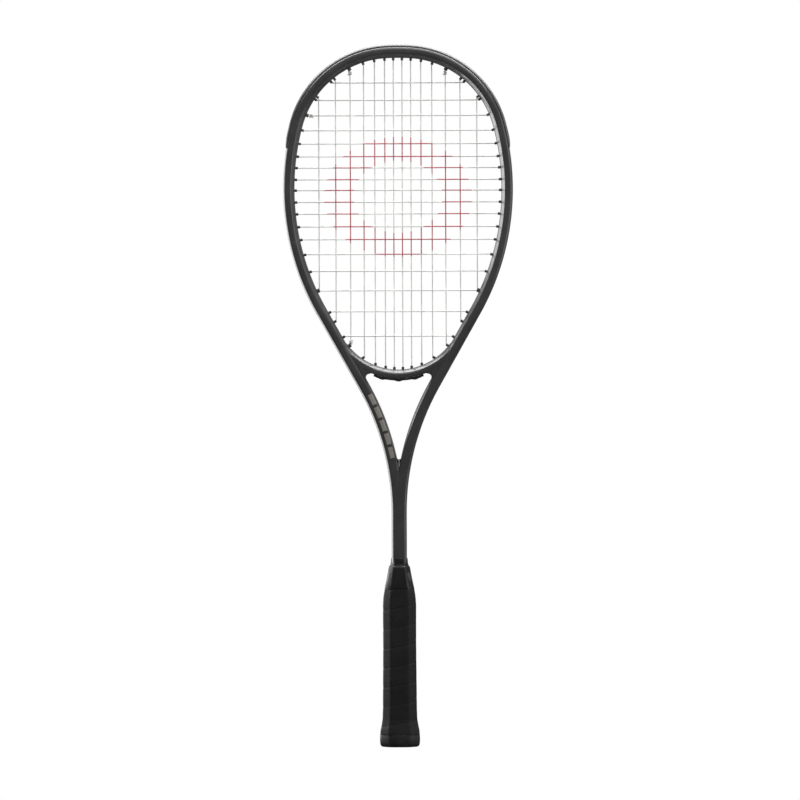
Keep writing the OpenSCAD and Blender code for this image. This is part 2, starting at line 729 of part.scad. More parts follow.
module collar() {
    cover = band_t + 2 * gap;
    low = shrunk(part_of(grip_outside, taper_low + 16, tape_top), -cover);
    top = low[len(low) - 1];
    a = shaft_w / 2;
    neck = [[175.8, a + 2.9, half_d + 2.7, 4.4], [176.6, a + 1.6, half_d + 1.6, 3.6],
        [178, a + 1.1, half_d + 1.1, 3.2], [collar_top - 0.5, a + 0.6, half_d + 0.7, 2.8],
        [collar_top, a + 0.3, half_d + 0.4, 2.4]];
    bore = [[collar_top, a + gap, half_d + gap, 2.1], [174, a + gap, half_d + gap, 2.1],
        [pallet_top + gap, top[1] - 0.2, top[2] - 0.2, top[3]]];
    color([0.11, 0.11, 0.11]) loft(concat(shrunk(low, -0.6), neck, bore, turned(low)), true);
}

frame_tube();
throat_bridge();
bridge_core();
head_guard();
grommet_strip_left();
grommet_strip_right();
grommet_strip_throat();
main_string();
cross_string();
handle_half_front();
handle_half_back();
butt_cap();
butt_badge();
cap_staples();
grip_staple();
grip_tape();
finishing_tape();
collar();
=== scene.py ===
"""A squash racket standing on a plain pale floor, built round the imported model's frame.

Sizes are laid out in millimetres and turned to metres where a mesh is drawn. +Z runs up the shaft
from the butt, the strings lie in the plane Y = 0 and the front looks towards -Y.
"""

from __future__ import annotations

import logging
import math
from dataclasses import dataclass, field
from enum import Enum
from typing import Callable, Iterable, Sequence

import bpy
from mathutils import Matrix, Vector


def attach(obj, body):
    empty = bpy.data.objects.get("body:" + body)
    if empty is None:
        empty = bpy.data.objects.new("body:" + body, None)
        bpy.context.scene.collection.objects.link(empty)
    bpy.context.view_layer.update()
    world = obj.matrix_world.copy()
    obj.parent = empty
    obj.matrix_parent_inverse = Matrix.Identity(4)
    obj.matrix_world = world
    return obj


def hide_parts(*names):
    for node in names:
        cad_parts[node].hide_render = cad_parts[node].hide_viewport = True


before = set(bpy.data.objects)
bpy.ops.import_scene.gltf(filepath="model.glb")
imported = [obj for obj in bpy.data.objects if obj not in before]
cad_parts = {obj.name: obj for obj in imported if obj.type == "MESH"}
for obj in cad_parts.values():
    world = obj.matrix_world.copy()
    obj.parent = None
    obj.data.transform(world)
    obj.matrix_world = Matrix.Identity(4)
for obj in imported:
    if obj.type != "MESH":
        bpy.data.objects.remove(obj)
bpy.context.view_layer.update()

MM = 0.001
MERGE = 0.02
WELD = 0.004
BODY = "root"
LOG = logging.getLogger("racket")


# ---- drawing and shaping meshes ----


def deselect_all() -> None:
    """Deselect every object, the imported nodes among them."""
    bpy.ops.object.select_all(action="DESELECT")


def make_active(piece: bpy.types.Object) -> None:
    """Select one object alone and make it the active one.

    Args:
        piece: The object to select.
    """
    deselect_all()
    piece.select_set(True)
    bpy.context.view_layer.objects.active = piece


def add_modifier(piece: bpy.types.Object, kind: str, **settings: object) -> None:
    """Add a modifier to a piece and apply it.

    Args:
        piece: The mesh object to change.
        kind: The modifier's type.
        **settings: The modifier's values.
    """
    make_active(piece)
    modifier = piece.modifiers.new(kind.lower(), kind)
    for key, value in settings.items():
        setattr(modifier, key, value)
    bpy.ops.object.modifier_apply(modifier=modifier.name)


def smooth(piece: bpy.types.Object, angle: float = 32.0) -> None:
    """Shade a piece smooth, with sharp edges where its faces turn by more than the angle."""
    make_active(piece)
    bpy.ops.object.shade_smooth_by_angle(angle=math.radians(angle))


def join(pieces: Sequence[bpy.types.Object], name: str) -> bpy.types.Object:
    """Join mesh objects into the first of them.

    Args:
        pieces: The objects to join.
        name: The name of the result.

    Returns:
        The joined object.
    """
    make_active(pieces[0])
    for piece in pieces[1:]:
        piece.select_set(True)
    if len(pieces) > 1:
        bpy.ops.object.join()
    pieces[0].name = name
    pieces[0].data.name = name
    return pieces[0]


def cut(piece: bpy.types.Object, tool: bpy.types.Object) -> None:
    """Take one closed mesh out of another and throw the tool away."""
    add_modifier(piece, "BOOLEAN", object=tool, operation="DIFFERENCE", solver="EXACT")
    bpy.data.objects.remove(tool)


def mirror_halves(piece: bpy.types.Object) -> None:
    """Cut a piece off at X = 0 and complete it with its mirror image."""
    add_modifier(piece, "MIRROR", use_axis=(True, False, False), merge_threshold=MERGE * MM,
                 use_bisect_axis=(True, False, False), use_clip=True)


class Sketch:
    """A mesh drawn in edit mode: a closed outline first, then sweeps of it."""

    def __init__(self, name: str, corners: Sequence[Vector], rounding: float = 0.0,
                 segments: int = 3) -> None:
        """Draw the outline corner by corner and round its corners.

        Args:
            name: The piece's name.
            corners: The outline's corners, in millimetres.
            rounding: How far from a corner its rounding starts, in millimetres.
            segments: The number of edges in a rounding.
        """
        deselect_all()
        bpy.ops.mesh.primitive_plane_add(size=MM, location=(0, 0, 0))
        self.piece: bpy.types.Object = bpy.context.object
        self.piece.name = name
        self.piece.data.name = name
        bpy.ops.object.mode_set(mode="EDIT")
        bpy.ops.mesh.select_mode(type="VERT")
        bpy.ops.mesh.select_all(action="SELECT")
        bpy.ops.mesh.merge(type="CENTER")
        bpy.ops.transform.translate(value=corners[0] * MM)
        for start, end in zip(corners, corners[1:]):
            bpy.ops.mesh.extrude_vertices_move(TRANSFORM_OT_translate={"value": (end - start) * MM})
        bpy.ops.mesh.select_all(action="SELECT")
        bpy.ops.mesh.edge_face_add()
        if rounding:
            bpy.ops.mesh.bevel(offset=rounding * MM, segments=segments, affect="VERTICES")
        bpy.ops.mesh.select_all(action="SELECT")
        bpy.ops.mesh.delete(type="ONLY_FACE")
        bpy.ops.mesh.select_all(action="SELECT")

    def split_long_edges(self, longest: float, cuts: int) -> "Sketch":
        """Divide the outline's long edges, and leave the whole outline selected.

        Args:
            longest: Longer edges are divided, in millimetres.
            cuts: How many cuts each of them gets.

        Returns:
            The same sketch.
        """
        bpy.ops.mesh.select_mode(type="EDGE")
        bpy.ops.mesh.select_all(action="DESELECT")
        bpy.ops.object.mode_set(mode="OBJECT")
        mesh = self.piece.data
        for edge in mesh.edges:
            first, second = (mesh.vertices[i].co for i in edge.vertices)
            edge.select = (first - second).length > longest * MM
        bpy.ops.object.mode_set(mode="EDIT")
        bpy.ops.mesh.subdivide(number_cuts=cuts)
        bpy.ops.mesh.select_mode(type="VERT")
        bpy.ops.mesh.select_all(action="SELECT")
        return self

    def spin(self, centre: Vector, degrees: float, steps: int) -> "Sketch":
        """Sweep the selected outline about an axis along Y, clockwise seen from the front.

        Args:
            centre: The axis, as (x, z) in millimetres.
            degrees: How far to turn.
            steps: The number of steps.

        Returns:
            The same sketch.
        """
        bpy.ops.mesh.spin(steps=steps, angle=math.radians(-degrees), axis=(0, 1, 0),
                          center=(centre[0] * MM, 0, centre[1] * MM))
        return self

    def push(self, way: Vector) -> "Sketch":
        """Sweep the selected outline straight on, by a vector in millimetres."""
        bpy.ops.mesh.extrude_region_move(TRANSFORM_OT_translate={"value": way * MM})
        return self

    def next_ring(self, rise: float, wide: float, deep: float) -> "Sketch":
        """Extrude the outline up and scale it about the Z axis.

        Args:
            rise: How far up, in millimetres.
            wide: The factor along X.
            deep: The factor along Y.

        Returns:
            The same sketch.
        """
        bpy.ops.mesh.extrude_region_move(TRANSFORM_OT_translate={"value": (0, 0, rise * MM)})
        bpy.ops.transform.resize(value=(wide, deep, 1), center_override=(0, 0, 0))
        return self

    def widen(self, factor: float) -> "Sketch":
        """Scale the selected outline sideways about X = 0."""
        bpy.ops.transform.resize(value=(factor, 1, 1), center_override=(0, 0, 0))
        return self

    def finish(self, fill: bool = True) -> bpy.types.Object:
        """Close the open ends, turn the faces outwards and leave edit mode.

        Args:
            fill: Whether open ends are filled.

        Returns:
            The finished object.
        """
        bpy.ops.mesh.select_all(action="SELECT")
        bpy.ops.mesh.remove_doubles(threshold=WELD * MM)
        if fill:
            bpy.ops.mesh.fill_holes(sides=0)
        bpy.ops.mesh.select_all(action="SELECT")
        bpy.ops.mesh.normals_make_consistent(inside=False)
        bpy.ops.object.mode_set(mode="OBJECT")
        return self.piece


def reshape(piece: bpy.types.Object, move: Callable[[Vector], Vector]) -> None:
    """Move each vertex of a piece, in millimetres.

    Args:
        piece: The mesh object to change.
        move: Gives a vertex's new place from its old one, in millimetres.
    """
    for vertex in piece.data.vertices:
        vertex.co = move(vertex.co / MM) * MM
    piece.data.update()


def dress(piece: bpy.types.Object, material: bpy.types.Material) -> None:
    """Give a mesh one material all over.

    Args:
        piece: The mesh object.
        material: The material that it gets.
    """
    if piece.data.materials:
        for i in range(len(piece.data.materials)):
            piece.data.materials[i] = material
    else:
        piece.data.materials.append(material)


def place(piece: bpy.types.Object, nodes: Sequence[str]) -> None:
    """Tie a finished piece to the frame and report it.

    Args:
        piece: The finished object.
        nodes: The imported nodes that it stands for.
    """
    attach(piece, BODY)
    if nodes:
        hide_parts(*nodes)
    LOG.info("%s: %d faces, stands for %s", piece.name, len(piece.data.polygons), ", ".join(nodes))


# ---- the line of the frame ----


def out(heading: float) -> Vector:
    """The direction out of the hoop at a heading in degrees, as (x, z)."""
    turn = math.radians(heading)
    return Vector((math.sin(turn), math.cos(turn)))


def along(heading: float) -> Vector:
    """The direction round the hoop at a heading in degrees, as (x, z)."""
    turn = math.radians(heading)
    return Vector((math.cos(turn), -math.sin(turn)))


@dataclass(frozen=True)
class FrameLine:
    """The centreline of the frame's right half as a chain of arcs, in millimetres and degrees."""

    overall: float = 685.8
    guard_proud: float = 1.8
    half_w: float = 5.6
    half_d: float = 9.5
    shaft_half_w: float = 7.45
    shaft_low: float = 14.0
    crown_r: float = 190.0
    crown_a: float = 4.0
    shoulder_r: float = 95.0
    shoulder_a: float = 75.0
    side_r: float = 243.0
    arm_a: float = 119.4
    bend_r: float = 254.6
    bridge_low: float = 368.3
    bridge_t: float = 8.8
    guard_low: float = 584.0
    groove_end: float = 70.0
    crown_steps: int = 5
    shoulder_steps: int = 54
    steps_a_degree: float = 1.4
    least_steps: int = 6

    @property
    def centre_z(self) -> float:
        """Height of the tube's centreline at the crown."""
        return self.overall - self.guard_proud - self.half_w

    @property
    def shaft_x(self) -> float:
        """Distance of each half's own centreline from the middle of the shaft."""
        return self.shaft_half_w - self.half_w

    @property
    def crown_c(self) -> Vector:
        """Centre of the crown's arc."""
        return Vector((0.0, self.centre_z - self.crown_r))

    @property
    def shoulder_c(self) -> Vector:
        """Centre of the shoulder's arc."""
        return self.crown_c + (self.crown_r - self.shoulder_r) * out(self.crown_a)

    @property
    def side_c(self) -> Vector:
        """Centre of the side's arc."""
        return self.shoulder_c + (self.shoulder_r - self.side_r) * out(self.shoulder_a)

    @property
    def arm_start(self) -> Vector:
        """Where the side runs into the straight arm."""
        return self.side_c + self.side_r * out(self.arm_a)

    @property
    def arm_l(self) -> float:
        """Length of the straight arm."""
        turn = math.radians(self.arm_a)
        return (self.arm_start[0] - self.shaft_x - self.bend_r * (1 - math.sin(turn))) / -math.cos(turn)

    @property
    def bend_c(self) -> Vector:
        """Centre of the bend into the shaft."""
        return self.arm_start + self.arm_l * along(self.arm_a) + self.bend_r * out(self.arm_a)

    @property
    def bridge_r(self) -> float:
        """Inner radius of the throat bridge.

        Returns:
            The radius in millimetres.
        """
        turn = math.radians(self.arm_a)
        reach = self.arm_start[0] * math.sin(turn) + (self.arm_start[1] - self.bridge_low) * math.cos(turn)
        return (reach - self.half_w) / (1 + math.cos(turn))

    @property
    def bridge_c(self) -> Vector:
        """Centre of the throat bridge's arc."""
        return Vector((0.0, self.bridge_low + self.bridge_r))

    @property
    def bridge_out(self) -> float:
        """Outer radius of the throat bridge."""
        return self.bridge_r + self.bridge_t

    @property
    def guard_a(self) -> float:
        """Heading at the lower ends of the head guard."""
        return math.degrees(math.acos((self.guard_low - self.side_c[1]) / self.side_r))

    def outside(self, way: float, u: float) -> Vector:
        """A place beside the centreline.

        Args:
            way: The heading round the hoop; past the hoop, the arm's heading plus millimetres down it.
            u: Distance outward from the centreline.

        Returns:
            The place as (x, z).
        """
        if way < self.crown_a:
            return self.crown_c + (self.crown_r + u) * out(way)
        if way < self.shoulder_a:
            return self.shoulder_c + (self.shoulder_r + u) * out(way)
        if way < self.arm_a:
            return self.side_c + (self.side_r + u) * out(way)
        return self.arm_start + (way - self.arm_a) * along(self.arm_a) + u * out(self.arm_a)

    def ring(self, section: Sequence[tuple[float, float]], heading: float) -> list[Vector]:
        """Stand a section on the crown's arc, ready to be swept round the hoop."""
        spots = ((self.crown_c + (self.crown_r + u) * out(heading), v) for u, v in section)
        return [Vector((p[0], v, p[1])) for p, v in spots]

    def sweep_hoop(self, sketch: Sketch, start: float, end: float) -> Sketch:
        """Sweep an outline round the hoop.

        Args:
            sketch: The outline, standing at the start heading.
            start: The heading to start from, on the crown.
            end: The heading to end at; at or past the arm's heading the sweep ends there.

        Returns:
            The same sketch.
        """
        end = min(end, self.arm_a)
        sketch.spin(self.crown_c, self.crown_a - start, self.crown_steps)
        sketch.spin(self.shoulder_c, min(end, self.shoulder_a) - self.crown_a, self.shoulder_steps)
        if end > self.shoulder_a:
            turn = end - self.shoulder_a
            sketch.spin(self.side_c, turn, max(self.least_steps, round(turn * self.steps_a_degree)))
        return sketch


def mirrored(corners: Sequence[tuple[float, float]]) -> list[tuple[float, float]]:
    """Complete half a section with its mirror image across the string plane."""
    return list(corners) + [(u, -v) for u, v in reversed(corners)]


LINE = FrameLine()


# ---- shader building ----


class Board:
    """A shader node tree that is being wired."""

    def __init__(self, tree: bpy.types.NodeTree) -> None:
        """Start on an empty tree."""
        self.tree = tree
        tree.nodes.clear()

    def feed(self, socket: bpy.types.NodeSocket, value: object) -> None:
        """Link an output to an input, or set the input to a plain value.

        Args:
            socket: The input.
            value: An output socket or a value.
        """
        if isinstance(value, bpy.types.NodeSocket):
            self.tree.links.new(value, socket)
        else:
            socket.default_value = value

    def add(self, kind: str, inputs: dict[str | int, object] | None = None,
            **settings: object) -> bpy.types.Node:
        """Add a node.

        Args:
            kind: The node's type, without its ShaderNode prefix.
            inputs: Values or output sockets for its inputs, by name or number.
            **settings: The node's own values.

        Returns:
            The new node.
        """
        node = self.tree.nodes.new(kind if kind.startswith("Node") else "ShaderNode" + kind)
        for key, value in settings.items():
            setattr(node, key, value)
        for key, value in (inputs or {}).items():
            self.feed(node.inputs[key], value)
        return node

    def math(self, operation: str, *values: object) -> bpy.types.NodeSocket:
        """Add a Math node and return its output."""
        return self.add("Math", dict(enumerate(values)), operation=operation).outputs[0]

    def between(self, value: object, low: float, high: float, new_low: float,
                new_high: float) -> bpy.types.NodeSocket:
        """Map a range of values smoothly to another one, and hold it at its ends.

        Args:
            value: The value to map.
            low: Its lower end.
            high: Its upper end.
            new_low: The result at the lower end.
            new_high: The result at the upper end.

        Returns:
            The mapped value.
        """
        return self.add("MapRange", {"Value": value, "From Min": low, "From Max": high,
                                     "To Min": new_low, "To Max": new_high},
                        interpolation_type="SMOOTHSTEP").outputs["Result"]

    def mix(self, factor: object, first: object, second: object) -> bpy.types.NodeSocket:
        """Mix two colours by a factor.

        Args:
            factor: How much of the second colour to take.
            first: The colour at 0.
            second: The colour at 1.

        Returns:
            The mixed colour.
        """
        node = self.add("Mix", data_type="RGBA")
        for key, value in (("Factor_Float", factor), ("A_Color", first), ("B_Color", second)):
            self.feed(next(s for s in node.inputs if s.identifier == key), value)
        return next(s for s in node.outputs if s.identifier == "Result_Color")

    def noise(self, vector: object, scale: object, detail: float = 3.0,
              roughness: float = 0.5) -> bpy.types.NodeSocket:
        """Add noise and return its value."""
        return self.add("TexNoise", {"Vector": vector, "Scale": scale, "Detail": detail,
                                     "Roughness": roughness}).outputs["Fac"]

    def stretched(self, vector: object, scale: tuple[float, float, float],
                  turn: tuple[float, float, float] = (0.0, 0.0, 0.0)) -> bpy.types.NodeSocket:
        """Scale and turn coordinates."""
        return self.add("Mapping", {"Vector": vector, "Scale": scale, "Rotation": turn}).outputs[0]

    def use(self, group: bpy.types.NodeTree, **inputs: object) -> bpy.types.Node:
        """Place a node group with its own values; an input's spaces are written as underscores.

        Args:
            group: The node group.
            **inputs: Values or output sockets for its inputs.

        Returns:
            The new node.
        """
        node = self.tree.nodes.new("ShaderNodeGroup")
        node.node_tree = group
        for key, value in inputs.items():
            self.feed(node.inputs[key.replace("_", " ")], value)
        return node


def start_group(name: str, inputs: dict[str, float | None],
                outputs: Iterable[str]) -> tuple[Board, bpy.types.Node, bpy.types.Node]:
    """Start a shader node group.

    Args:
        name: The group's name.
        inputs: Its inputs and their values; None stands for a vector.
        outputs: Its outputs, all plain values.

    Returns:
        The board, its input node and its output node.
    """
    tree = bpy.data.node_groups.new(name, "ShaderNodeTree")
    board = Board(tree)
    for key, value in inputs.items():
        kind = "NodeSocketVector" if value is None else "NodeSocketFloat"
        socket = tree.interface.new_socket(name=key, in_out="INPUT", socket_type=kind)
        if value is not None:
            socket.default_value = value
    for key in outputs:
        tree.interface.new_socket(name=key, in_out="OUTPUT", socket_type="NodeSocketFloat")
    return board, tree.nodes.new("NodeGroupInput"), tree.nodes.new("NodeGroupOutput")


class Effects:
    """The shader node groups that several finishes share, each built once."""

    def __init__(self) -> None:
        """Build the groups."""
        self.grain = self._grain()
        self.scuffs = self._scuffs()
        self.dust = self._dust()

    @staticmethod
    def _grain() -> bpy.types.NodeTree:
        """Fine skin texture with a slow change of tone under it.

        Returns:
            The group.
        """
        board, given, result = start_group(
            "surface_grain", {"Vector": None, "Scale": 1200.0, "Coarse": 60.0}, ("Height", "Tone"))
        vector = given.outputs["Vector"]
        fine = board.noise(vector, given.outputs["Scale"], 4.0, 0.6)
        pits = board.add("TexVoronoi", {"Vector": vector, "Scale": given.outputs["Scale"]},
                         feature="SMOOTH_F1").outputs["Distance"]
        height = board.math("ADD", board.math("MULTIPLY", fine, 0.6), board.math("MULTIPLY", pits, 0.4))
        board.tree.links.new(height, result.inputs["Height"])
        tone = board.noise(vector, given.outputs["Coarse"], 3.0, 0.55)
        board.tree.links.new(board.between(tone, 0.3, 0.7, 0.0, 1.0), result.inputs["Tone"])
        return board.tree

    @staticmethod
    def _scuffs() -> bpy.types.NodeTree:
        """Thin scratches and rubbed patches.

        Returns:
            The group.
        """
        board, given, result = start_group(
            "rub_marks", {"Vector": None, "Scale": 80.0, "Amount": 0.5}, ("Mask",))
        vector = given.outputs["Vector"]
        lines = board.noise(board.stretched(vector, (12.0, 12.0, 1.0), (0.3, 0.5, 0.2)),
                            given.outputs["Scale"], 2.0, 0.4)
        across = board.noise(board.stretched(vector, (1.0, 9.0, 14.0), (0.1, 0.7, 0.4)),
                             given.outputs["Scale"], 2.0, 0.4)
        thin = board.math("MAXIMUM", board.between(lines, 0.66, 0.7, 0.0, 1.0),
                          board.between(across, 0.67, 0.71, 0.0, 1.0))
        patch = board.between(board.noise(vector, 22.0, 3.0, 0.6), 0.5, 0.68, 0.0, 1.0)
        mask = board.math("MULTIPLY", board.math("MULTIPLY", thin, patch), given.outputs["Amount"])
        board.tree.links.new(mask, result.inputs["Mask"])
        return board.tree

    @staticmethod
    def _dust() -> bpy.types.NodeTree:
        """Scattered pale specks.

        Returns:
            The group.
        """
        board, given, result = start_group(
            "dust_specks", {"Vector": None, "Scale": 500.0, "Amount": 0.3}, ("Mask",))
        vector = given.outputs["Vector"]
        cells = board.add("TexVoronoi", {"Vector": vector, "Scale": given.outputs["Scale"]})
        spots = cells.outputs["Distance"]
        near = board.between(spots, 0.06, 0.16, 1.0, 0.0)
        patch = board.between(board.noise(vector, 35.0, 2.0, 0.5), 0.5, 0.62, 0.0, 1.0)
        mask = board.math("MULTIPLY", board.math("MULTIPLY", near, patch), given.outputs["Amount"])
        board.tree.links.new(mask, result.inputs["Mask"])
        return board.tree


Colour = tuple[float, float, float, float]


def grey(value: float) -> Colour:
    """A neutral colour."""
    return (value, value, value, 1.0)


@dataclass(frozen=True)
class Finish:
    """What every finish has: a name and how it starts and ends its material."""

    name: str

    def start(self) -> tuple[bpy.types.Material, Board, bpy.types.NodeSocket]:
        """Make a material and its board, with object coordinates ready.

        Returns:
            The material, its board and the coordinates.
        """
        material = bpy.data.materials.new(self.name)
        material.use_nodes = True
        board = Board(material.node_tree)
        return material, board, board.add("TexCoord").outputs["Object"]

    @staticmethod
    def end(board: Board, inputs: dict[str, object], height: object = None, depth: float = 0.0) -> None:
        """Add the Principled shader, its bump and the output.

        Args:
            board: The board to finish.
            inputs: The shader's inputs.
            height: The bump's height, if any.
            depth: The bump's depth in millimetres.
        """
        if height is not None:
            bump = board.add("Bump", {"Height": height, "Distance": depth * MM, "Strength": 1.0})
            inputs = {**inputs, "Normal": bump.outputs["Normal"]}
        shader = board.add("BsdfPrincipled", inputs)
        board.add("OutputMaterial", {"Surface": shader.outputs["BSDF"]})


@dataclass(frozen=True)
class CarbonPaint(Finish):
    """Satin charcoal lacquer over carbon, with plain bars printed on one arm."""

    low: Colour = (0.018, 0.018, 0.019, 1.0)
    high: Colour = (0.029, 0.029, 0.03, 1.0)
    print_colour: Colour = (0.22, 0.203, 0.173, 1.0)
    bar_top: float = 119.5
    bar_pitch: float = 13.7
    bar_count: int = 5
    bar_fill: float = 0.8
    bar_in: float = -0.9
    bar_out: float = 3.5
    bars: bool = False

    def bar_mask(self, board: Board, vector: bpy.types.NodeSocket) -> bpy.types.NodeSocket:
        """Where the bars are, on the inner half of the left bend's front face.

        Args:
            board: The board to add to.
            vector: The object coordinates.

        Returns:
            The mask, 1 on the bars.
        """
        centre = (-LINE.bend_c[0] * MM, 0.0, LINE.bend_c[1] * MM)
        parts = board.add("SeparateXYZ", {0: board.add("VectorMath", {0: vector, 1: centre},
                                                       operation="SUBTRACT").outputs[0]})
        x, y, z = parts.outputs
        squares = board.math("ADD", board.math("MULTIPLY", x, x), board.math("MULTIPLY", z, z))
        reach = board.math("SQRT", squares)
        over = board.math("SUBTRACT", board.math("DIVIDE", reach, MM), LINE.bend_r)
        turned = board.math("MULTIPLY", board.math("ARCTAN2", z, x), LINE.bend_r)
        step = board.math("DIVIDE", board.math("SUBTRACT", self.bar_top, turned), self.bar_pitch)
        inside = board.math("MULTIPLY", board.math("GREATER_THAN", step, 0.0),
                            board.math("LESS_THAN", step, float(self.bar_count)))
        filled = board.math("LESS_THAN", board.math("FRACT", step), self.bar_fill)
        bar = board.math("MULTIPLY", inside, filled)
        band = board.math("MULTIPLY", board.math("GREATER_THAN", over, self.bar_in),
                          board.math("LESS_THAN", over, self.bar_out))
        front = board.math("LESS_THAN", y, 0.0)
        return board.math("MULTIPLY", bar, board.math("MULTIPLY", band, front))

    def build(self, effects: Effects) -> bpy.types.Material:
        """Make the material.

        Args:
            effects: The shared groups.

        Returns:
            The material.
        """
        material, board, vector = self.start()
        grain = board.use(effects.grain, Vector=vector, Scale=900.0, Coarse=40.0)
        scuffs = board.use(effects.scuffs, Vector=vector, Scale=60.0, Amount=0.5).outputs[0]
        dust = board.use(effects.dust, Vector=vector, Scale=420.0, Amount=0.35).outputs[0]
        flake = board.between(board.noise(vector, 5200.0, 1.0), 0.62, 0.72, 0.0, 0.35)
        colour = board.mix(grain.outputs["Tone"], self.low, self.high)
        colour = board.mix(flake, colour, grey(0.07))
        colour = board.mix(scuffs, colour, grey(0.1))
        colour = board.mix(dust, colour, grey(0.2))
        rough = board.between(grain.outputs["Tone"], 0.0, 1.0, 0.3, 0.36)
        if self.bars:
            mask = self.bar_mask(board, vector)
            colour = board.mix(mask, colour, self.print_colour)
            rough = board.math("ADD", rough, board.math("MULTIPLY", mask, 0.08))
        rough = board.math("ADD", rough, board.math("MULTIPLY", scuffs, 0.2))
        self.end(board, {"Base Color": colour, "Roughness": rough, "IOR": 1.5, "Coat Weight": 0.35,
                         "Coat Roughness": 0.16}, grain.outputs["Height"], 0.012)
        return material


@dataclass(frozen=True)
class Moulded(Finish):
    """A moulded plastic or rubber with a matt skin, scuffed where it is rubbed."""

    low: Colour = (0.016, 0.016, 0.017, 1.0)
    high: Colour = (0.024, 0.024, 0.025, 1.0)
    rough: float = 0.5
    grain_scale: float = 1500.0
    grain_depth: float = 0.03
    scuffed: float = 0.5
    worn: Colour = (0.11, 0.11, 0.11, 1.0)
    gloss: float = 0.5

    def build(self, effects: Effects) -> bpy.types.Material:
        """Make the material.

        Args:
            effects: The shared groups.

        Returns:
            The material.
        """
        material, board, vector = self.start()
        grain = board.use(effects.grain, Vector=vector, Scale=self.grain_scale, Coarse=55.0)
        scuffs = board.use(effects.scuffs, Vector=vector, Scale=90.0, Amount=self.scuffed).outputs[0]
        dust = board.use(effects.dust, Vector=vector, Scale=600.0, Amount=0.3).outputs[0]
        colour = board.mix(grain.outputs["Tone"], self.low, self.high)
        colour = board.mix(scuffs, colour, self.worn)
        colour = board.mix(dust, colour, grey(0.22))
        rough = board.between(grain.outputs["Tone"], 0.0, 1.0, self.rough - 0.04, self.rough + 0.05)
        rough = board.math("ADD", rough, board.math("MULTIPLY", scuffs, 0.15))
        self.end(board, {"Base Color": colour, "Roughness": rough, "Specular IOR Level": self.gloss},
                 grain.outputs["Height"], self.grain_depth)
        return material


@dataclass(frozen=True)
class StringGut(Finish):
    """A pale synthetic string with a faint wrap, and a plain printed ring across the bed."""

    body: Colour = (0.72, 0.72, 0.7, 1.0)
    tone: Colour = (0.56, 0.57, 0.55, 1.0)
    ink: Colour = (0.4, 0.012, 0.035, 1.0)
    ring_z: float = 537.0
    ring_w: float = 58.0
    ring_h: float = 47.0
    band: float = 0.26
    wrap_scale: float = 9000.0

    def build(self, effects: Effects) -> bpy.types.Material:
        """Make the material.

        Args:
            effects: The shared groups.

        Returns:
            The material.
        """
        material, board, vector = self.start()
        grain = board.use(effects.grain, Vector=vector, Scale=2600.0, Coarse=30.0)
        dust = board.use(effects.dust, Vector=vector, Scale=900.0, Amount=0.25).outputs[0]
        colour = board.mix(grain.outputs["Tone"], self.tone, self.body)
        parts = board.add("SeparateXYZ", {0: vector})
        wide = board.math("DIVIDE", parts.outputs[0], self.ring_w * MM)
        above = board.math("SUBTRACT", parts.outputs[2], self.ring_z * MM)
        high = board.math("DIVIDE", above, self.ring_h * MM)
        reach = board.math("SQRT", board.math("ADD", board.math("MULTIPLY", wide, wide),
                                              board.math("MULTIPLY", high, high)))
        ring = board.between(board.math("ABSOLUTE", board.math("SUBTRACT", reach, 1.0)),
                             self.band - 0.02, self.band, 1.0, 0.0)
        patchy = board.between(board.noise(vector, 700.0, 3.0, 0.6), 0.32, 0.45, 0.55, 0.95)
        colour = board.mix(board.math("MULTIPLY", ring, patchy), colour, self.ink)
        colour = board.mix(dust, colour, grey(0.6))
        across = board.math("ADD", parts.outputs[0], parts.outputs[2])
        wrap = board.math("SINE", board.math("MULTIPLY", across, self.wrap_scale))
        height = board.math("ADD", board.math("MULTIPLY", wrap, 0.3), grain.outputs["Height"])
        rough = board.between(grain.outputs["Tone"], 0.0, 1.0, 0.26, 0.36)
        self.end(board, {"Base Color": colour, "Roughness": rough, "Subsurface Weight": 0.0,
                         "Coat Weight": 0.2}, height, 0.02)
        return material


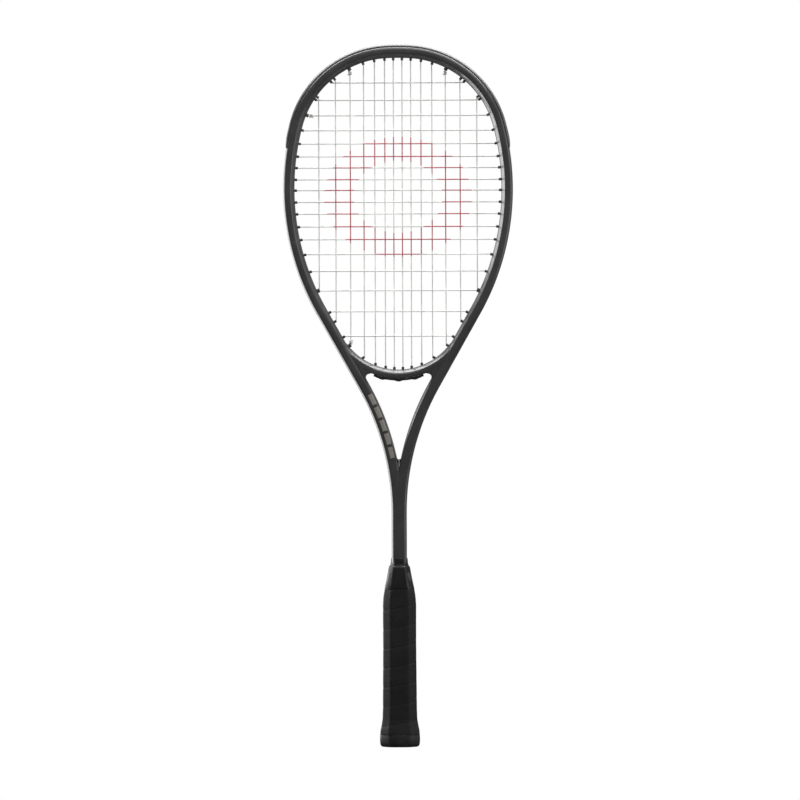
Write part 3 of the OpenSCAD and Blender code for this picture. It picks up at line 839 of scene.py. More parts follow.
@dataclass(frozen=True)
class GripSkin(Finish):
    """Perforated soft grip tape with painted shade in its holes: its UV map runs along the wound strip and
    across it.
    """

    low: Colour = (0.009, 0.009, 0.0092, 1.0)
    high: Colour = (0.0155, 0.0152, 0.0152, 1.0)
    hole_pitch: float = 3.1
    width: float = 19.0

    def build(self, effects: Effects) -> bpy.types.Material:
        """Make the material.

        Args:
            effects: The shared groups.

        Returns:
            The material.
        """
        material, board, vector = self.start()
        grain = board.use(effects.grain, Vector=vector, Scale=1700.0, Coarse=50.0)
        scuffs = board.use(effects.scuffs, Vector=vector, Scale=70.0, Amount=0.25).outputs[0]
        strip = board.add("UVMap", uv_map="wound").outputs[0]
        parts = board.add("SeparateXYZ", {0: strip})
        down = board.math("DIVIDE", parts.outputs[0], self.hole_pitch)
        over = board.math("DIVIDE", parts.outputs[1], self.hole_pitch)
        row = board.math("FLOOR", over)
        slide = board.math("MULTIPLY", board.math("MODULO", row, 2.0), 0.5)
        x = board.math("SUBTRACT", board.math("FRACT", board.math("ADD", down, slide)), 0.5)
        y = board.math("SUBTRACT", board.math("FRACT", over), 0.5)
        squares = board.math("ADD", board.math("MULTIPLY", x, x), board.math("MULTIPLY", y, y))
        reach = board.math("SQRT", squares)
        clear = board.math("MULTIPLY", board.between(parts.outputs[1], 2.6, 3.0, 0.0, 1.0),
                           board.between(parts.outputs[1], self.width - 3.0, self.width - 2.6, 1.0, 0.0))
        hole = board.math("MULTIPLY", board.between(reach, 0.13, 0.19, 1.0, 0.0), clear)
        edge = board.math("ADD", board.between(parts.outputs[1], 0.15, 0.8, 1.0, 0.0),
                          board.between(parts.outputs[1], self.width - 0.3, self.width, 0.0, 1.0))
        colour = board.mix(grain.outputs["Tone"], self.low, self.high)
        colour = board.mix(scuffs, colour, grey(0.035))
        # Painted shade: the perforations are painted near black, standing in for the shade inside the holes;
        # the strip's edges along the seams get the same dark colour.
        colour = board.mix(board.math("MAXIMUM", hole, board.math("MINIMUM", edge, 1.0)), colour, grey(0.003))
        rough = board.between(grain.outputs["Tone"], 0.0, 1.0, 0.52, 0.62)
        height = board.math("SUBTRACT", board.math("MULTIPLY", grain.outputs["Height"], 0.3),
                            board.math("MULTIPLY", hole, 1.0))
        self.end(board, {"Base Color": colour, "Roughness": rough, "Specular IOR Level": 0.16}, height, 0.12)
        return material


@dataclass(frozen=True)
class Foam(Finish):
    """A cut polyurethane foam with open pores, which are painted darker as shade."""

    low: Colour = (0.42, 0.31, 0.19, 1.0)
    high: Colour = (0.58, 0.46, 0.31, 1.0)

    def build(self, effects: Effects) -> bpy.types.Material:
        """Make the material.

        Args:
            effects: The shared groups.

        Returns:
            The material.
        """
        material, board, vector = self.start()
        grain = board.use(effects.grain, Vector=vector, Scale=900.0, Coarse=45.0)
        pores = board.between(board.add("TexVoronoi", {"Vector": vector, "Scale": 700.0}).outputs["Distance"],
                              0.15, 0.4, 1.0, 0.0)
        colour = board.mix(grain.outputs["Tone"], self.low, self.high)
        # Painted shade: the pores are painted a darker brown, standing in for the shade inside them.
        colour = board.mix(board.math("MULTIPLY", pores, 0.5), colour, (0.25, 0.17, 0.1, 1.0))
        height = board.math("SUBTRACT", grain.outputs["Height"], pores)
        rough = board.between(grain.outputs["Tone"], 0.0, 1.0, 0.8, 0.92)
        self.end(board, {"Base Color": colour, "Roughness": rough}, height, 0.2)
        return material


@dataclass(frozen=True)
class Metal(Finish):
    """Drawn wire or a brushed disc."""

    low: Colour = (0.45, 0.45, 0.46, 1.0)
    high: Colour = (0.62, 0.62, 0.63, 1.0)
    rough: float = 0.3

    def build(self, effects: Effects) -> bpy.types.Material:
        """Make the material.

        Args:
            effects: The shared groups.

        Returns:
            The material.
        """
        material, board, vector = self.start()
        grain = board.use(effects.grain, Vector=board.stretched(vector, (1.0, 14.0, 14.0)), Scale=900.0,
                          Coarse=80.0)
        scuffs = board.use(effects.scuffs, Vector=vector, Scale=160.0, Amount=0.6).outputs[0]
        colour = board.mix(grain.outputs["Tone"], self.low, self.high)
        colour = board.mix(scuffs, colour, grey(0.25))
        rough = board.between(grain.outputs["Height"], 0.2, 0.8, self.rough - 0.08, self.rough + 0.12)
        self.end(board, {"Base Color": colour, "Roughness": rough, "Metallic": 1.0},
                 grain.outputs["Height"], 0.01)
        return material


# ---- frame ----


@dataclass
class FrameShell:
    """The lacquered tube: hoop, arms and shaft in one skin, with the groove for the strings."""

    section: tuple[tuple[float, float], ...] = ((-5.6, -2.0), (-2.0, -9.5), (3.6, -9.5), (5.6, -6.5))
    corner: float = 1.3
    groove_u: float = 2.8
    groove_half: float = 2.7
    web_z: float = 279.4
    web_r: float = 1.45
    web_half: float = 3.0
    web_reach: float = 13.0
    web_lip: float = 1.4
    flank_d: float = 1.8
    flank_share: float = 0.7
    web_d: float = 18.4
    keel: float = 0.16
    lean: float = 0.5
    slim_from: float = 22.0
    slim_by: float = 1.4
    slim_low: float = 316.0
    slim_more: float = 1.2
    slim_reach: float = 24.0
    face_u: float = 2.0
    side_half: float = 2.0
    bend_steps: int = 30
    start: float = -1.0

    def half(self) -> bpy.types.Object:
        """The right half, a little past the middle at both ends.

        Returns:
            The half tube.
        """
        corners = LINE.ring(mirrored(self.section), self.start)
        sketch = Sketch("frame_shell", corners, self.corner, 4)
        LINE.sweep_hoop(sketch, self.start, LINE.arm_a)
        way = along(LINE.arm_a) * LINE.arm_l
        sketch.push(Vector((way[0], 0.0, way[1])))
        sketch.spin(LINE.bend_c, 90.0 - LINE.arm_a, self.bend_steps)
        sketch.push(Vector((0.0, 0.0, LINE.shaft_low - LINE.bend_c[1])))
        return sketch.finish()

    def groove(self) -> bpy.types.Object:
        """The room of the string groove on the right half.

        Returns:
            The tool that cuts the groove.
        """
        u, half = self.groove_u, self.groove_half
        section = [(u, -half), (8.0, -half), (8.0, half), (u, half)]
        sketch = Sketch("groove", LINE.ring(section, self.start * 2))
        LINE.sweep_hoop(sketch, self.start * 2, LINE.arm_a)
        way = along(LINE.arm_a) * LINE.groove_end
        sketch.push(Vector((way[0], 0.0, way[1])))
        return sketch.finish()

    def slim_chamfer(self, spot: Vector) -> Vector:
        """Narrow the inner chamfer where the arms run down into the shaft.

        Args:
            spot: A vertex's place in millimetres.

        Returns:
            Its new place.
        """
        flat = Vector((spot[0], spot[2]))
        down = (flat - LINE.arm_start).dot(along(LINE.arm_a))
        if spot[2] > LINE.arm_start[1] or down < self.slim_from:
            return spot
        share = min(1.0, (down - self.slim_from) / (LINE.arm_l - self.slim_from))
        narrow = self.slim_by * share * share * (3 - 2 * share)
        narrow += self.slim_more * min(1.0, max(0.0, (self.slim_low - spot[2]) / self.slim_reach))
        depth = min(1.0, max(0.0, (abs(spot[1]) - self.side_half) / (LINE.half_d - self.side_half)))
        way = flat - LINE.bend_c
        if down < LINE.arm_l:
            u, side = (flat - LINE.arm_start).dot(out(LINE.arm_a)), out(LINE.arm_a)
        elif spot[2] > LINE.bend_c[1]:
            u, side = LINE.bend_r - way.length, -way.normalized()
        else:
            u, side = spot[0] - LINE.shaft_x, Vector((1.0, 0.0))
        if u > 0.0:
            return spot
        flat -= min(1.0, -u / self.face_u) * narrow * depth * side
        return Vector((flat[0], spot[1], flat[1]))

    def web(self) -> bpy.types.Object:
        """The rounded web between the two arms where they meet, keeled towards both faces.

        Returns:
            The web.
        """
        low, half, thin, share = self.web_z - self.web_reach, self.web_d / 2, self.keel, self.flank_share
        high, wide = self.web_z + self.web_lip, self.web_half
        corners = [Vector((-wide, -half, low)), Vector((wide, -half, low)), Vector((wide, -half, high))]
        turn = [math.radians(a) for a in range(0, -181, -20)]
        corners += [Vector((self.web_r * math.cos(a), -half, self.web_z + self.web_r * (1 + math.sin(a))))
                    for a in turn]
        corners.append(Vector((-wide, -half, high)))
        sketch = Sketch("web", corners).widen(thin)
        flank, core = self.flank_d, half - self.flank_d
        for deep, factor in ((flank, share / thin), (core, 1 / share), (core, share), (flank, thin / share)):
            sketch.push(Vector((0.0, deep, 0.0))).widen(factor)
        web = sketch.finish()
        reshape(web, lambda spot: Vector((spot[0], spot[1] * (1 - self.lean * (spot[2] - low) / (high - low)),
                                          spot[2])))
        return web

    def build(self, paint: bpy.types.Material) -> bpy.types.Object:
        """Model the shell and dress it.

        Args:
            paint: Its material.

        Returns:
            The finished shell.
        """
        shell = self.half()
        reshape(shell, self.slim_chamfer)
        cut(shell, self.groove())
        mirror_halves(shell)
        shell = join([shell, self.web()], "frame_shell")
        smooth(shell, 34.0)
        dress(shell, paint)
        return shell


@dataclass
class ThroatBridge:
    """The arc that closes the hoop above the throat, and its rounded corners on the arms."""

    depth: float = 17.0
    chamfer: float = 3.6
    overlap: float = 6.5
    corner: float = 1.2
    corner_r: float = 3.2
    corner_c: tuple[float, float] = (28.8, 360.9)

    def arc(self) -> bpy.types.Object:
        """The arc, from inside one arm to inside the other.

        Returns:
            The arc.
        """
        half, low = self.depth / 2, LINE.arm_a + self.overlap
        inner, outer = LINE.bridge_r, LINE.bridge_out
        section = mirrored([(inner, -2.0), (inner + self.chamfer, -half), (outer, -half)])
        corners = []
        for r, v in section:
            spot = LINE.bridge_c + r * out(low)
            corners.append(Vector((spot[0], v, spot[1])))
        sketch = Sketch("bridge_arc", corners, self.corner, 4)
        return sketch.spin(LINE.bridge_c, 360.0 - 2 * low, 64).finish()

    def foot(self) -> bpy.types.Object:
        """The filled corner between the arc and the right arm.

        Returns:
            Both corners, in one object.
        """
        middle = Vector(self.corner_c)
        side = out(LINE.arm_a)
        line = [Vector((18.0, LINE.bridge_c[1] - LINE.bridge_out + 6.0)), Vector((26.0, 364.95))]
        line += [middle + self.corner_r * Vector((math.cos(math.radians(a)), math.sin(math.radians(a))))
                 for a in range(90, -30, -10)]
        line += [middle + self.corner_r * side, middle + (self.corner_r + 3.0) * side, Vector((50.0, 385.0))]
        half = self.depth / 2 - 0.04
        sketch = Sketch("bridge_foot", [Vector((p[0], -half, p[1])) for p in line])
        piece = sketch.push(Vector((0.0, 2 * half, 0.0))).finish()
        add_modifier(piece, "BEVEL", width=1.0 * MM, segments=3, limit_method="ANGLE",
                     angle_limit=math.radians(60))
        deselect_all()
        bpy.ops.mesh.primitive_cylinder_add(vertices=256, radius=(LINE.bridge_r + self.chamfer) * MM,
                                            depth=30 * MM, rotation=(math.pi / 2, 0, 0),
                                            location=(0, 0, LINE.bridge_c[1] * MM))
        cut(piece, bpy.context.object)
        add_modifier(piece, "MIRROR", use_axis=(True, False, False), use_clip=False, use_mirror_merge=False)
        return piece

    def build(self, paint: bpy.types.Material) -> bpy.types.Object:
        """Model the bridge and dress it.

        Args:
            paint: Its material.

        Returns:
            The finished bridge.
        """
        bridge = join([self.arc(), self.foot()], "throat_bridge_skin")
        smooth(bridge, 34.0)
        dress(bridge, paint)
        return bridge


# ---- head guard, grommets and strings ----


@dataclass(frozen=True)
class Hole:
    """A string hole: the inner end of its barrel, its heading and its length to the outer strip."""

    inner: Vector
    heading: float
    length: float

    def at(self, side: int, u: float, y: float = 0.0) -> Vector:
        """A place on the hole's axis, counted outward from the barrel's inner end."""
        spot = self.inner + u * out(self.heading)
        return Vector((side * spot[0], y, spot[1]))


@dataclass(frozen=True)
class StringHoles:
    """Where the strings pass through the frame, in millimetres."""

    main_x: tuple[float, ...] = (4.2, 12.7, 22.6, 33.3, 46.5, 60.8, 77.2)
    cross_z: tuple[float, ...] = (648.5, 631.5, 616.5, 602.0, 589.0, 576.5, 565.5, 554.0, 543.5, 532.0,
                                  520.5, 508.0, 495.5, 481.0, 464.5, 445.5, 425.0, 401.0)
    stub: float = 2.4
    base_top: float = 3.85
    base_t: float = 1.0
    side_from: float = 70.0
    arm_from: float = 50.0
    corner_from: float = 28.0

    @property
    def stub_u(self) -> float:
        """How far inside the centreline a barrel ends."""
        return LINE.half_w + self.stub

    def on_arc(self, centre: Vector, radius: float, heading: float) -> Hole:
        """A hole square to an arc of the hoop."""
        return Hole(centre + (radius - self.stub_u) * out(heading), heading, self.stub_u + self.base_top)

    def on_arm(self, length: float) -> Hole:
        """A hole square to the arm, at a length down it."""
        spot = LINE.arm_start + length * along(LINE.arm_a) - self.stub_u * out(LINE.arm_a)
        return Hole(spot, LINE.arm_a, self.stub_u + self.base_top)

    def top_main(self, i: int) -> Hole:
        """The hole at the upper end of a main.

        Args:
            i: The main's number, counted from the middle.

        Returns:
            The hole.
        """
        x = self.main_x[i]
        heading = math.degrees(math.asin(x / (LINE.crown_r - self.stub_u)))
        if heading < LINE.crown_a:
            return self.on_arc(LINE.crown_c, LINE.crown_r, heading)
        lean = math.asin((x - LINE.shoulder_c[0]) / (LINE.shoulder_r - self.stub_u))
        return self.on_arc(LINE.shoulder_c, LINE.shoulder_r, math.degrees(lean))

    def cross(self, k: int) -> Hole:
        """The hole at the right end of a cross.

        Args:
            k: The cross's number, counted from the top.

        Returns:
            The hole.
        """
        z = self.cross_z[k]
        if z > LINE.shoulder_c[1]:
            lean = math.degrees(math.acos((z - LINE.shoulder_c[1]) / (LINE.shoulder_r - self.stub_u)))
            if lean < LINE.shoulder_a:
                return self.on_arc(LINE.shoulder_c, LINE.shoulder_r, lean)
        lean = math.degrees(math.acos((z - LINE.side_c[1]) / (LINE.side_r - self.stub_u)))
        if lean < LINE.arm_a:
            return self.on_arc(LINE.side_c, LINE.side_r, lean)
        turn = math.radians(LINE.arm_a)
        return self.on_arm((LINE.arm_start[1] - self.stub_u * math.cos(turn) - z) / math.sin(turn))

    def low_main(self, i: int) -> Hole:
        """The hole at the lower end of a main: through the side, the arm, a corner or the bridge.

        Args:
            i: The main's number, counted from the middle.

        Returns:
            The hole.
        """
        x, turn = self.main_x[i], math.radians(LINE.arm_a)
        if x > self.side_from:
            lean = math.asin((x - LINE.side_c[0]) / (LINE.side_r - self.stub_u))
            return self.on_arc(LINE.side_c, LINE.side_r, 180.0 - math.degrees(lean))
        if x > self.arm_from:
            return self.on_arm((LINE.arm_start[0] - self.stub_u * math.sin(turn) - x) / -math.cos(turn))
        if x > self.corner_from:
            r = LINE.bridge_r - self.stub
            inner = Vector((x, LINE.bridge_c[1] - math.sqrt(r * r - x * x)))
            return Hole(inner, LINE.arm_a, (LINE.arm_start - inner).dot(out(LINE.arm_a)) + self.base_top)
        inner = Vector((x, LINE.bridge_c[1] - math.sqrt(LINE.bridge_r ** 2 - x * x) + self.stub))
        rim = math.sqrt((LINE.bridge_out + self.base_t) ** 2 - x * x)
        return Hole(inner, 180.0, inner[1] - LINE.bridge_c[1] + rim)


HOLES = StringHoles()
MAINS = 2 * len(HOLES.main_x)
CROSSES = len(HOLES.cross_z)
TIE_MAIN = 4
TIE_CROSS = 2


@dataclass
class HeadGuard:
    """The guard over the crown and shoulders, with the grommet barrels that belong to it."""

    proud: float = 1.8
    taper: float = 9.0
    barrel_r: float = 1.35
    tie_barrel_r: float = 1.9
    barrel_l: float = 9.0
    bore_l: float = 4.5
    mouth_round: float = 0.22
    barrel_wall: float = 0.24
    least: float = 0.35
    end_share: float = 0.15
    end_power: float = 0.6
    thin_below: float = 600.0
    rows: int = 5
    start: float = -1.0

    @property
    def section(self) -> list[tuple[float, float]]:
        """The guard's section, in the groove and over the tube's outer face."""
        w, top = LINE.half_w, LINE.half_w + self.proud
        return mirrored([(2.85, -2.65), (w + 0.05, -2.65), (w + 0.05, -6.5), (w - 0.9, -7.95), (w, -8.2),
                         (w + 1.2, -7.2), (top, -5.6), (top, -2.0), (3.85, -2.0)])

    def rim(self) -> bpy.types.Object:
        """The guard itself, thinning out over its last millimetres.

        Returns:
            The guard without its barrels.
        """
        sketch = Sketch("guard", LINE.ring(self.section, self.start), 0.3, 2)
        rim = LINE.sweep_hoop(sketch, self.start, LINE.guard_a).finish()
        low = LINE.half_w + self.least

        def thin_out(spot: Vector) -> Vector:
            """Bring the proud part down to the tube near the guard's end.

            Args:
                spot: A vertex's place in millimetres.

            Returns:
                Its new place.
            """
            flat = Vector((spot[0], spot[2])) - LINE.side_c
            heading = math.degrees(math.atan2(flat[0], flat[1]))
            left = math.radians(LINE.guard_a - heading) * LINE.side_r
            u = flat.length - LINE.side_r
            if left > self.taper or u < low or spot[2] > self.thin_below:
                return spot
            share = self.end_share + (1 - self.end_share) * max(0.0, left / self.taper) ** self.end_power
            shrunk = low + (u - low) * share
            flat = LINE.side_c + (LINE.side_r + shrunk) * out(heading)
            return Vector((flat[0], spot[1], flat[1]))

        reshape(rim, thin_out)
        mirror_halves(rim)
        return rim

    def barrel(self, radius: float) -> bpy.types.Object:
        """One barrel with its bore and softened mouth, standing along Z from the origin down.

        Args:
            radius: Its outer radius in millimetres.

        Returns:
            The barrel.
        """
        deselect_all()
        bpy.ops.mesh.primitive_cylinder_add(vertices=20, radius=radius * MM, depth=self.barrel_l * MM,
                                            location=(0, 0, -self.barrel_l / 2 * MM))
        piece = bpy.context.object
        bpy.ops.object.transform_apply(location=True)
        bpy.ops.object.mode_set(mode="EDIT")
        bpy.ops.mesh.select_all(action="DESELECT")
        bpy.ops.object.mode_set(mode="OBJECT")
        for face in piece.data.polygons:
            face.select = face.normal.z > 0.9
        bpy.ops.object.mode_set(mode="EDIT")
        bpy.ops.mesh.select_mode(type="FACE")
        bpy.ops.mesh.bevel(offset=self.mouth_round * MM, segments=2)
        bpy.ops.object.mode_set(mode="OBJECT")
        for face in piece.data.polygons:
            face.select = face.normal.z > 0.99
        bpy.ops.object.mode_set(mode="EDIT")
        bpy.ops.mesh.inset(thickness=self.barrel_wall * MM)
        bpy.ops.mesh.extrude_region_move(TRANSFORM_OT_translate={"value": (0, 0, -self.bore_l * MM)})
        bpy.ops.object.mode_set(mode="OBJECT")
        return piece

    def barrels(self) -> list[bpy.types.Object]:
        """A barrel at each of the guard's holes.

        Returns:
            The barrels of both sides.
        """
        spots = [(HOLES.top_main(i), side, i == TIE_MAIN)
                 for i in range(len(HOLES.main_x)) for side in (-1, 1)]
        spots += [(HOLES.cross(k), side, k == TIE_CROSS and side < 0)
                  for k in range(self.rows) for side in (-1, 1)]
        made = {False: self.barrel(self.barrel_r), True: self.barrel(self.tie_barrel_r)}
        pieces = []
        for hole, side, shared in spots:
            copy = made[shared].copy()
            copy.data = made[shared].data.copy()
            bpy.context.scene.collection.objects.link(copy)
            turn = Matrix.Rotation(math.radians(180.0 + side * hole.heading), 4, "Y")
            copy.data.transform(Matrix.Translation(hole.at(side, 0.0) * MM) @ turn)
            pieces.append(copy)
        for piece in made.values():
            bpy.data.objects.remove(piece)
        return pieces

    def build(self, nylon: bpy.types.Material) -> bpy.types.Object:
        """Model the guard and dress it.

        Args:
            nylon: Its material.

        Returns:
            The finished guard.
        """
        guard = join([self.rim(), *self.barrels()], "head_guard_rim")
        smooth(guard, 38.0)
        dress(guard, nylon)
        return guard


@dataclass
class StringBed:
    """The two strings, woven hole by hole, with their turns outside the frame and their knots."""

    diameter: float = 1.2
    weave: float = 0.65
    lane: float = 1.3
    edge: float = 0.8
    knot_r: float = 1.3
    knot_pitch: float = 1.5
    knot_steps: int = 12
    knot_turns: int = 2
    knot_start: float = 0.8
    knot_end: float = 1.2
    tail: float = 2.4
    string_u: float = 4.5
    exit_u: float = 0.15
    tops: list[Hole] = field(default_factory=lambda: [HOLES.top_main(i) for i in range(MAINS // 2)])
    lows: list[Hole] = field(default_factory=lambda: [HOLES.low_main(i) for i in range(MAINS // 2)])
    ends: list[Hole] = field(default_factory=lambda: [HOLES.cross(k) for k in range(CROSSES)])

    @staticmethod
    def place_of(hole: Hole) -> float:
        """Where a hole comes out, as the frame line counts it.

        Args:
            hole: The hole.

        Returns:
            Its heading, plus millimetres down the arm.
        """
        if hole.heading < LINE.arm_a:
            return hole.heading
        return LINE.arm_a + (hole.inner - LINE.arm_start).dot(along(LINE.arm_a))

    def outer_run(self, first: Hole, last: Hole, side: int, y: float) -> list[Vector]:
        """The run outside the frame from one hole to the next.

        Args:
            first: The hole that the string leaves.
            last: The hole that it goes to.
            side: The side of the frame, -1 or 1.
            y: Its place across the groove.

        Returns:
            The points of the run.
        """
        start, end = self.place_of(first), self.place_of(last)
        edge = self.edge if end > start else -self.edge
        stops = [(start, edge), *((start + (end - start) * k / 4, 0.0) for k in (1, 2, 3)), (end, -edge)]
        run = []
        for way, shift in stops:
            spot = LINE.outside(way, self.string_u) + shift * along(min(way, LINE.arm_a))
            run.append(Vector((side * spot[0], y, spot[1])))
        return run

    def bridge_run(self, start: float, end: float) -> list[Vector]:
        """The run under the bridge between two holes.

        Args:
            start: Where it starts, as x.
            end: Where it ends, as x.

        Returns:
            The points of the run.
        """
        r = LINE.bridge_out + 1.1 + self.diameter / 2
        edge = self.edge if end > start else -self.edge
        return [Vector((x, 0.0, LINE.bridge_c[1] - math.sqrt(r * r - x * x)))
                for x in (start + edge, (start + end) / 2, end - edge)]

    @staticmethod
    def main_side(m: int) -> int:
        """The side of the middle that a main lies on."""
        return -1 if m <= MAINS // 2 else 1

    @staticmethod
    def main_i(m: int) -> int:
        """A main's number counted from the middle."""
        return MAINS // 2 - m if m <= MAINS // 2 else m - MAINS // 2 - 1

    def over(self, m: int, k: int) -> float:
        """Which side of the string plane a main takes where it meets a cross."""
        return self.weave if (m + k) % 2 == 0 else -self.weave

    def crossed(self, m: int) -> list[int]:
        """The crosses that a main meets, from the top down.

        Args:
            m: The main's number, counted from the left.

        Returns:
            The numbers of the crosses.
        """
        i = self.main_i(m)
        return [k for k, z in enumerate(HOLES.cross_z)
                if HOLES.main_x[i] < self.ends[k].inner[0]
                and self.lows[i].inner[1] < z < self.tops[i].inner[1]]

    def met(self, k: int) -> list[int]:
        """The mains that a cross meets, from left to right."""
        return [m for m in range(1, MAINS + 1) if k in self.crossed(m)]

    def main_span(self, m: int) -> list[Vector]:
        """One main from its upper hole to its lower one.

        Args:
            m: The main's number, counted from the left.

        Returns:
            The points from the top down.
        """
        i, side, rows = self.main_i(m), self.main_side(m), self.crossed(m)
        top, low = self.tops[i], self.lows[i]
        y_top = self.over(m, rows[0]) if i == TIE_MAIN else 0.0
        y_low = self.over(m, rows[-1]) if i == TIE_MAIN and side < 0 else 0.0
        middle = [Vector((side * HOLES.main_x[i], self.over(m, k), HOLES.cross_z[k])) for k in rows]
        return [top.at(side, top.length - self.exit_u, y_top), top.at(side, 0.0, y_top), *middle,
                low.at(side, 0.0, y_low), low.at(side, low.length - self.exit_u, y_low)]

    def cross_span(self, k: int) -> list[Vector]:
        """One cross from left to right.

        Args:
            k: The cross's number, counted from the top.

        Returns:
            The points from left to right.
        """
        hole, mains = self.ends[k], self.met(k)
        y = -self.over(mains[0], k) if k == TIE_CROSS else 0.0
        z = HOLES.cross_z[k]
        middle = [Vector((self.main_side(m) * HOLES.main_x[self.main_i(m)], -self.over(m, k), z))
                  for m in mains]
        return [hole.at(-1, hole.length - self.exit_u, y), hole.at(-1, 0.0, y), *middle,
                hole.at(1, 0.0), hole.at(1, hole.length - self.exit_u)]

    def knot(self, hole: Hole, side: int, way: Vector, y: float) -> list[Vector]:
        """A tied end: two turns about the string beside it and a short tail.

        Args:
            hole: The hole that the end comes in through.
            side: The side of the frame, -1 or 1.
            way: The direction of the string beside it.
            y: Where that string lies, through the bed.

        Returns:
            The points from the outside of the frame to the tail.
        """
        middle, wide = hole.at(side, 0.0), Vector((way[2], 0.0, -way[0]))
        lean = math.copysign(self.knot_r, y)
        points = [hole.at(side, hole.length - self.exit_u, -y), hole.at(side, 0.0, -y)]
        for k in range(1, self.knot_turns * self.knot_steps + 1):
            turns = k / self.knot_steps
            turn = math.radians(360.0 * turns)
            points.append(middle + (self.knot_start + self.knot_pitch * turns) * way
                          + self.knot_r * math.sin(turn) * wide
                          + Vector((0.0, y - lean * math.cos(turn), 0.0)))
        points.append(middle + (self.knot_end + self.knot_turns * self.knot_pitch) * way + self.tail * wide
                      + Vector((0.0, y - lean, 0.0)))
        return points

    def main_turn(self, m: int) -> list[Vector]:
        """The turn from one main to the next.

        Args:
            m: The number of the main that the string leaves.

        Returns:
            The points of the run.
        """
        i, j, side = self.main_i(m), self.main_i(m + 1), self.main_side(m)
        if m % 2 == 0:
            return self.outer_run(self.tops[i], self.tops[j], side, 0.0)
        if m in (1, MAINS - 1):
            return self.outer_run(self.lows[i], self.lows[j], side, self.lane)
        if i > 2:
            return self.outer_run(self.lows[i], self.lows[j], side, 0.0)
        return self.bridge_run(side * HOLES.main_x[i], self.main_side(m + 1) * HOLES.main_x[j])

    def main_route(self) -> list[Vector]:
        """The whole route of the string that makes the mains.

        Returns:
            The points from one tied end to the other.
        """
        far, tie = self.tops[-1], self.tops[TIE_MAIN]
        y_left, y_right = self.over(MAINS // 2 - TIE_MAIN, 0), self.over(MAINS // 2 + 1 + TIE_MAIN, 0)
        down = Vector((0.0, 0.0, -1.0))
        route = self.knot(tie, -1, down, y_left)[::-1]
        route += self.outer_run(tie, far, -1, -math.copysign(self.lane, y_left))
        for m in range(1, MAINS + 1):
            span = self.main_span(m)
            route += span if m % 2 else span[::-1]
            if m < MAINS:
                route += self.main_turn(m)
        route += self.outer_run(far, tie, 1, -math.copysign(self.lane, y_right))
        return route + self.knot(tie, 1, down, y_right)

    def cross_route(self) -> list[Vector]:
        """The whole route of the string that makes the crosses.

        Returns:
            The points from one tied end to the other.
        """
        first, tie, last, low = self.ends[0], self.ends[TIE_CROSS], self.ends[-1], self.lows[TIE_MAIN]
        y_top = -self.over(self.met(TIE_CROSS)[0], TIE_CROSS)
        y_low = self.over(MAINS // 2 - TIE_MAIN, CROSSES - 1)
        route = self.knot(tie, -1, Vector((1.0, 0.0, 0.0)), y_top)[::-1]
        route += self.outer_run(tie, first, -1, -math.copysign(self.lane, y_top))
        for k in range(CROSSES):
            span = self.cross_span(k)
            route += span[::-1] if k % 2 else span
            if k < CROSSES - 1:
                lane = self.lane if k == 0 else -self.lane if k > CROSSES - 4 else 0.0
                route += self.outer_run(self.ends[k], self.ends[k + 1], -1 if k % 2 else 1, lane)
        route += self.outer_run(last, low, -1, -math.copysign(self.lane, y_low))
        return route + self.knot(low, -1, Vector((0.0, 0.0, 1.0)), y_low)

    def string(self, name: str, route: list[Vector], gut: bpy.types.Material) -> bpy.types.Object:
        """Draw a string as one smooth curve along its route and make it a mesh.

        Args:
            name: The piece's name.
            route: The points of its route, in millimetres.
            gut: Its material.

        Returns:
            The finished string.
        """
        mouths = [hole.at(side, u, y) for hole in (*self.tops, *self.lows, *self.ends) for side in (-1, 1)
                  for u in (0.0, hole.length - self.exit_u) for y in (0.0, self.weave, -self.weave)]
        mouths = {tuple(round(c, 3) for c in spot) for spot in mouths}
        deselect_all()
        bpy.ops.curve.primitive_bezier_curve_add(location=(0, 0, 0))
        piece = bpy.context.object
        spline = piece.data.splines[0]
        spline.bezier_points.add(len(route) - len(spline.bezier_points))
        for point, spot in zip(spline.bezier_points, route):
            point.co = spot * MM
            kind = "VECTOR" if tuple(round(c, 3) for c in spot) in mouths else "AUTO"
            point.handle_left_type = point.handle_right_type = kind
        spline.resolution_u = 4
        piece.data.dimensions = "3D"
        piece.data.resolution_u = 4
        piece.data.twist_mode = "MINIMUM"
        piece.data.bevel_depth = self.diameter / 2 * MM
        piece.data.bevel_resolution = 2
        piece.data.use_fill_caps = True
        make_active(piece)
        bpy.ops.object.convert(target="MESH")
        piece = bpy.context.object
        piece.name = name
        piece.data.name = name
        smooth(piece, 60.0)
        dress(piece, gut)
        return piece

    def build(self, gut: bpy.types.Material) -> list[bpy.types.Object]:
        """Model both strings and dress them."""
        return [self.string("string_mains", self.main_route(), gut),
                self.string("string_crosses", self.cross_route(), gut)]


# ---- handle ----


@dataclass(frozen=True)
class Ring:
    """An eight-sided section of the handle: height, half width, half depth and bevel."""

    z: float
    wide: float
    deep: float
    bevel: float

    def shrunk(self, by: float) -> "Ring":
        """The same section with its outline moved inward."""
        return Ring(self.z, self.wide - by, self.deep - by, self.bevel - 0.58 * by)

    def corners(self) -> list[Vector]:
        """The section's eight corners.

        Returns:
            The corners, going round.
        """
        a, b, c = self.wide, self.deep, self.bevel
        spots = ((a, c - b), (a, b - c), (a - c, b), (c - a, b),
                 (-a, b - c), (-a, c - b), (c - a, -b), (a - c, -b))
        return [Vector((x, y, self.z)) for x, y in spots]


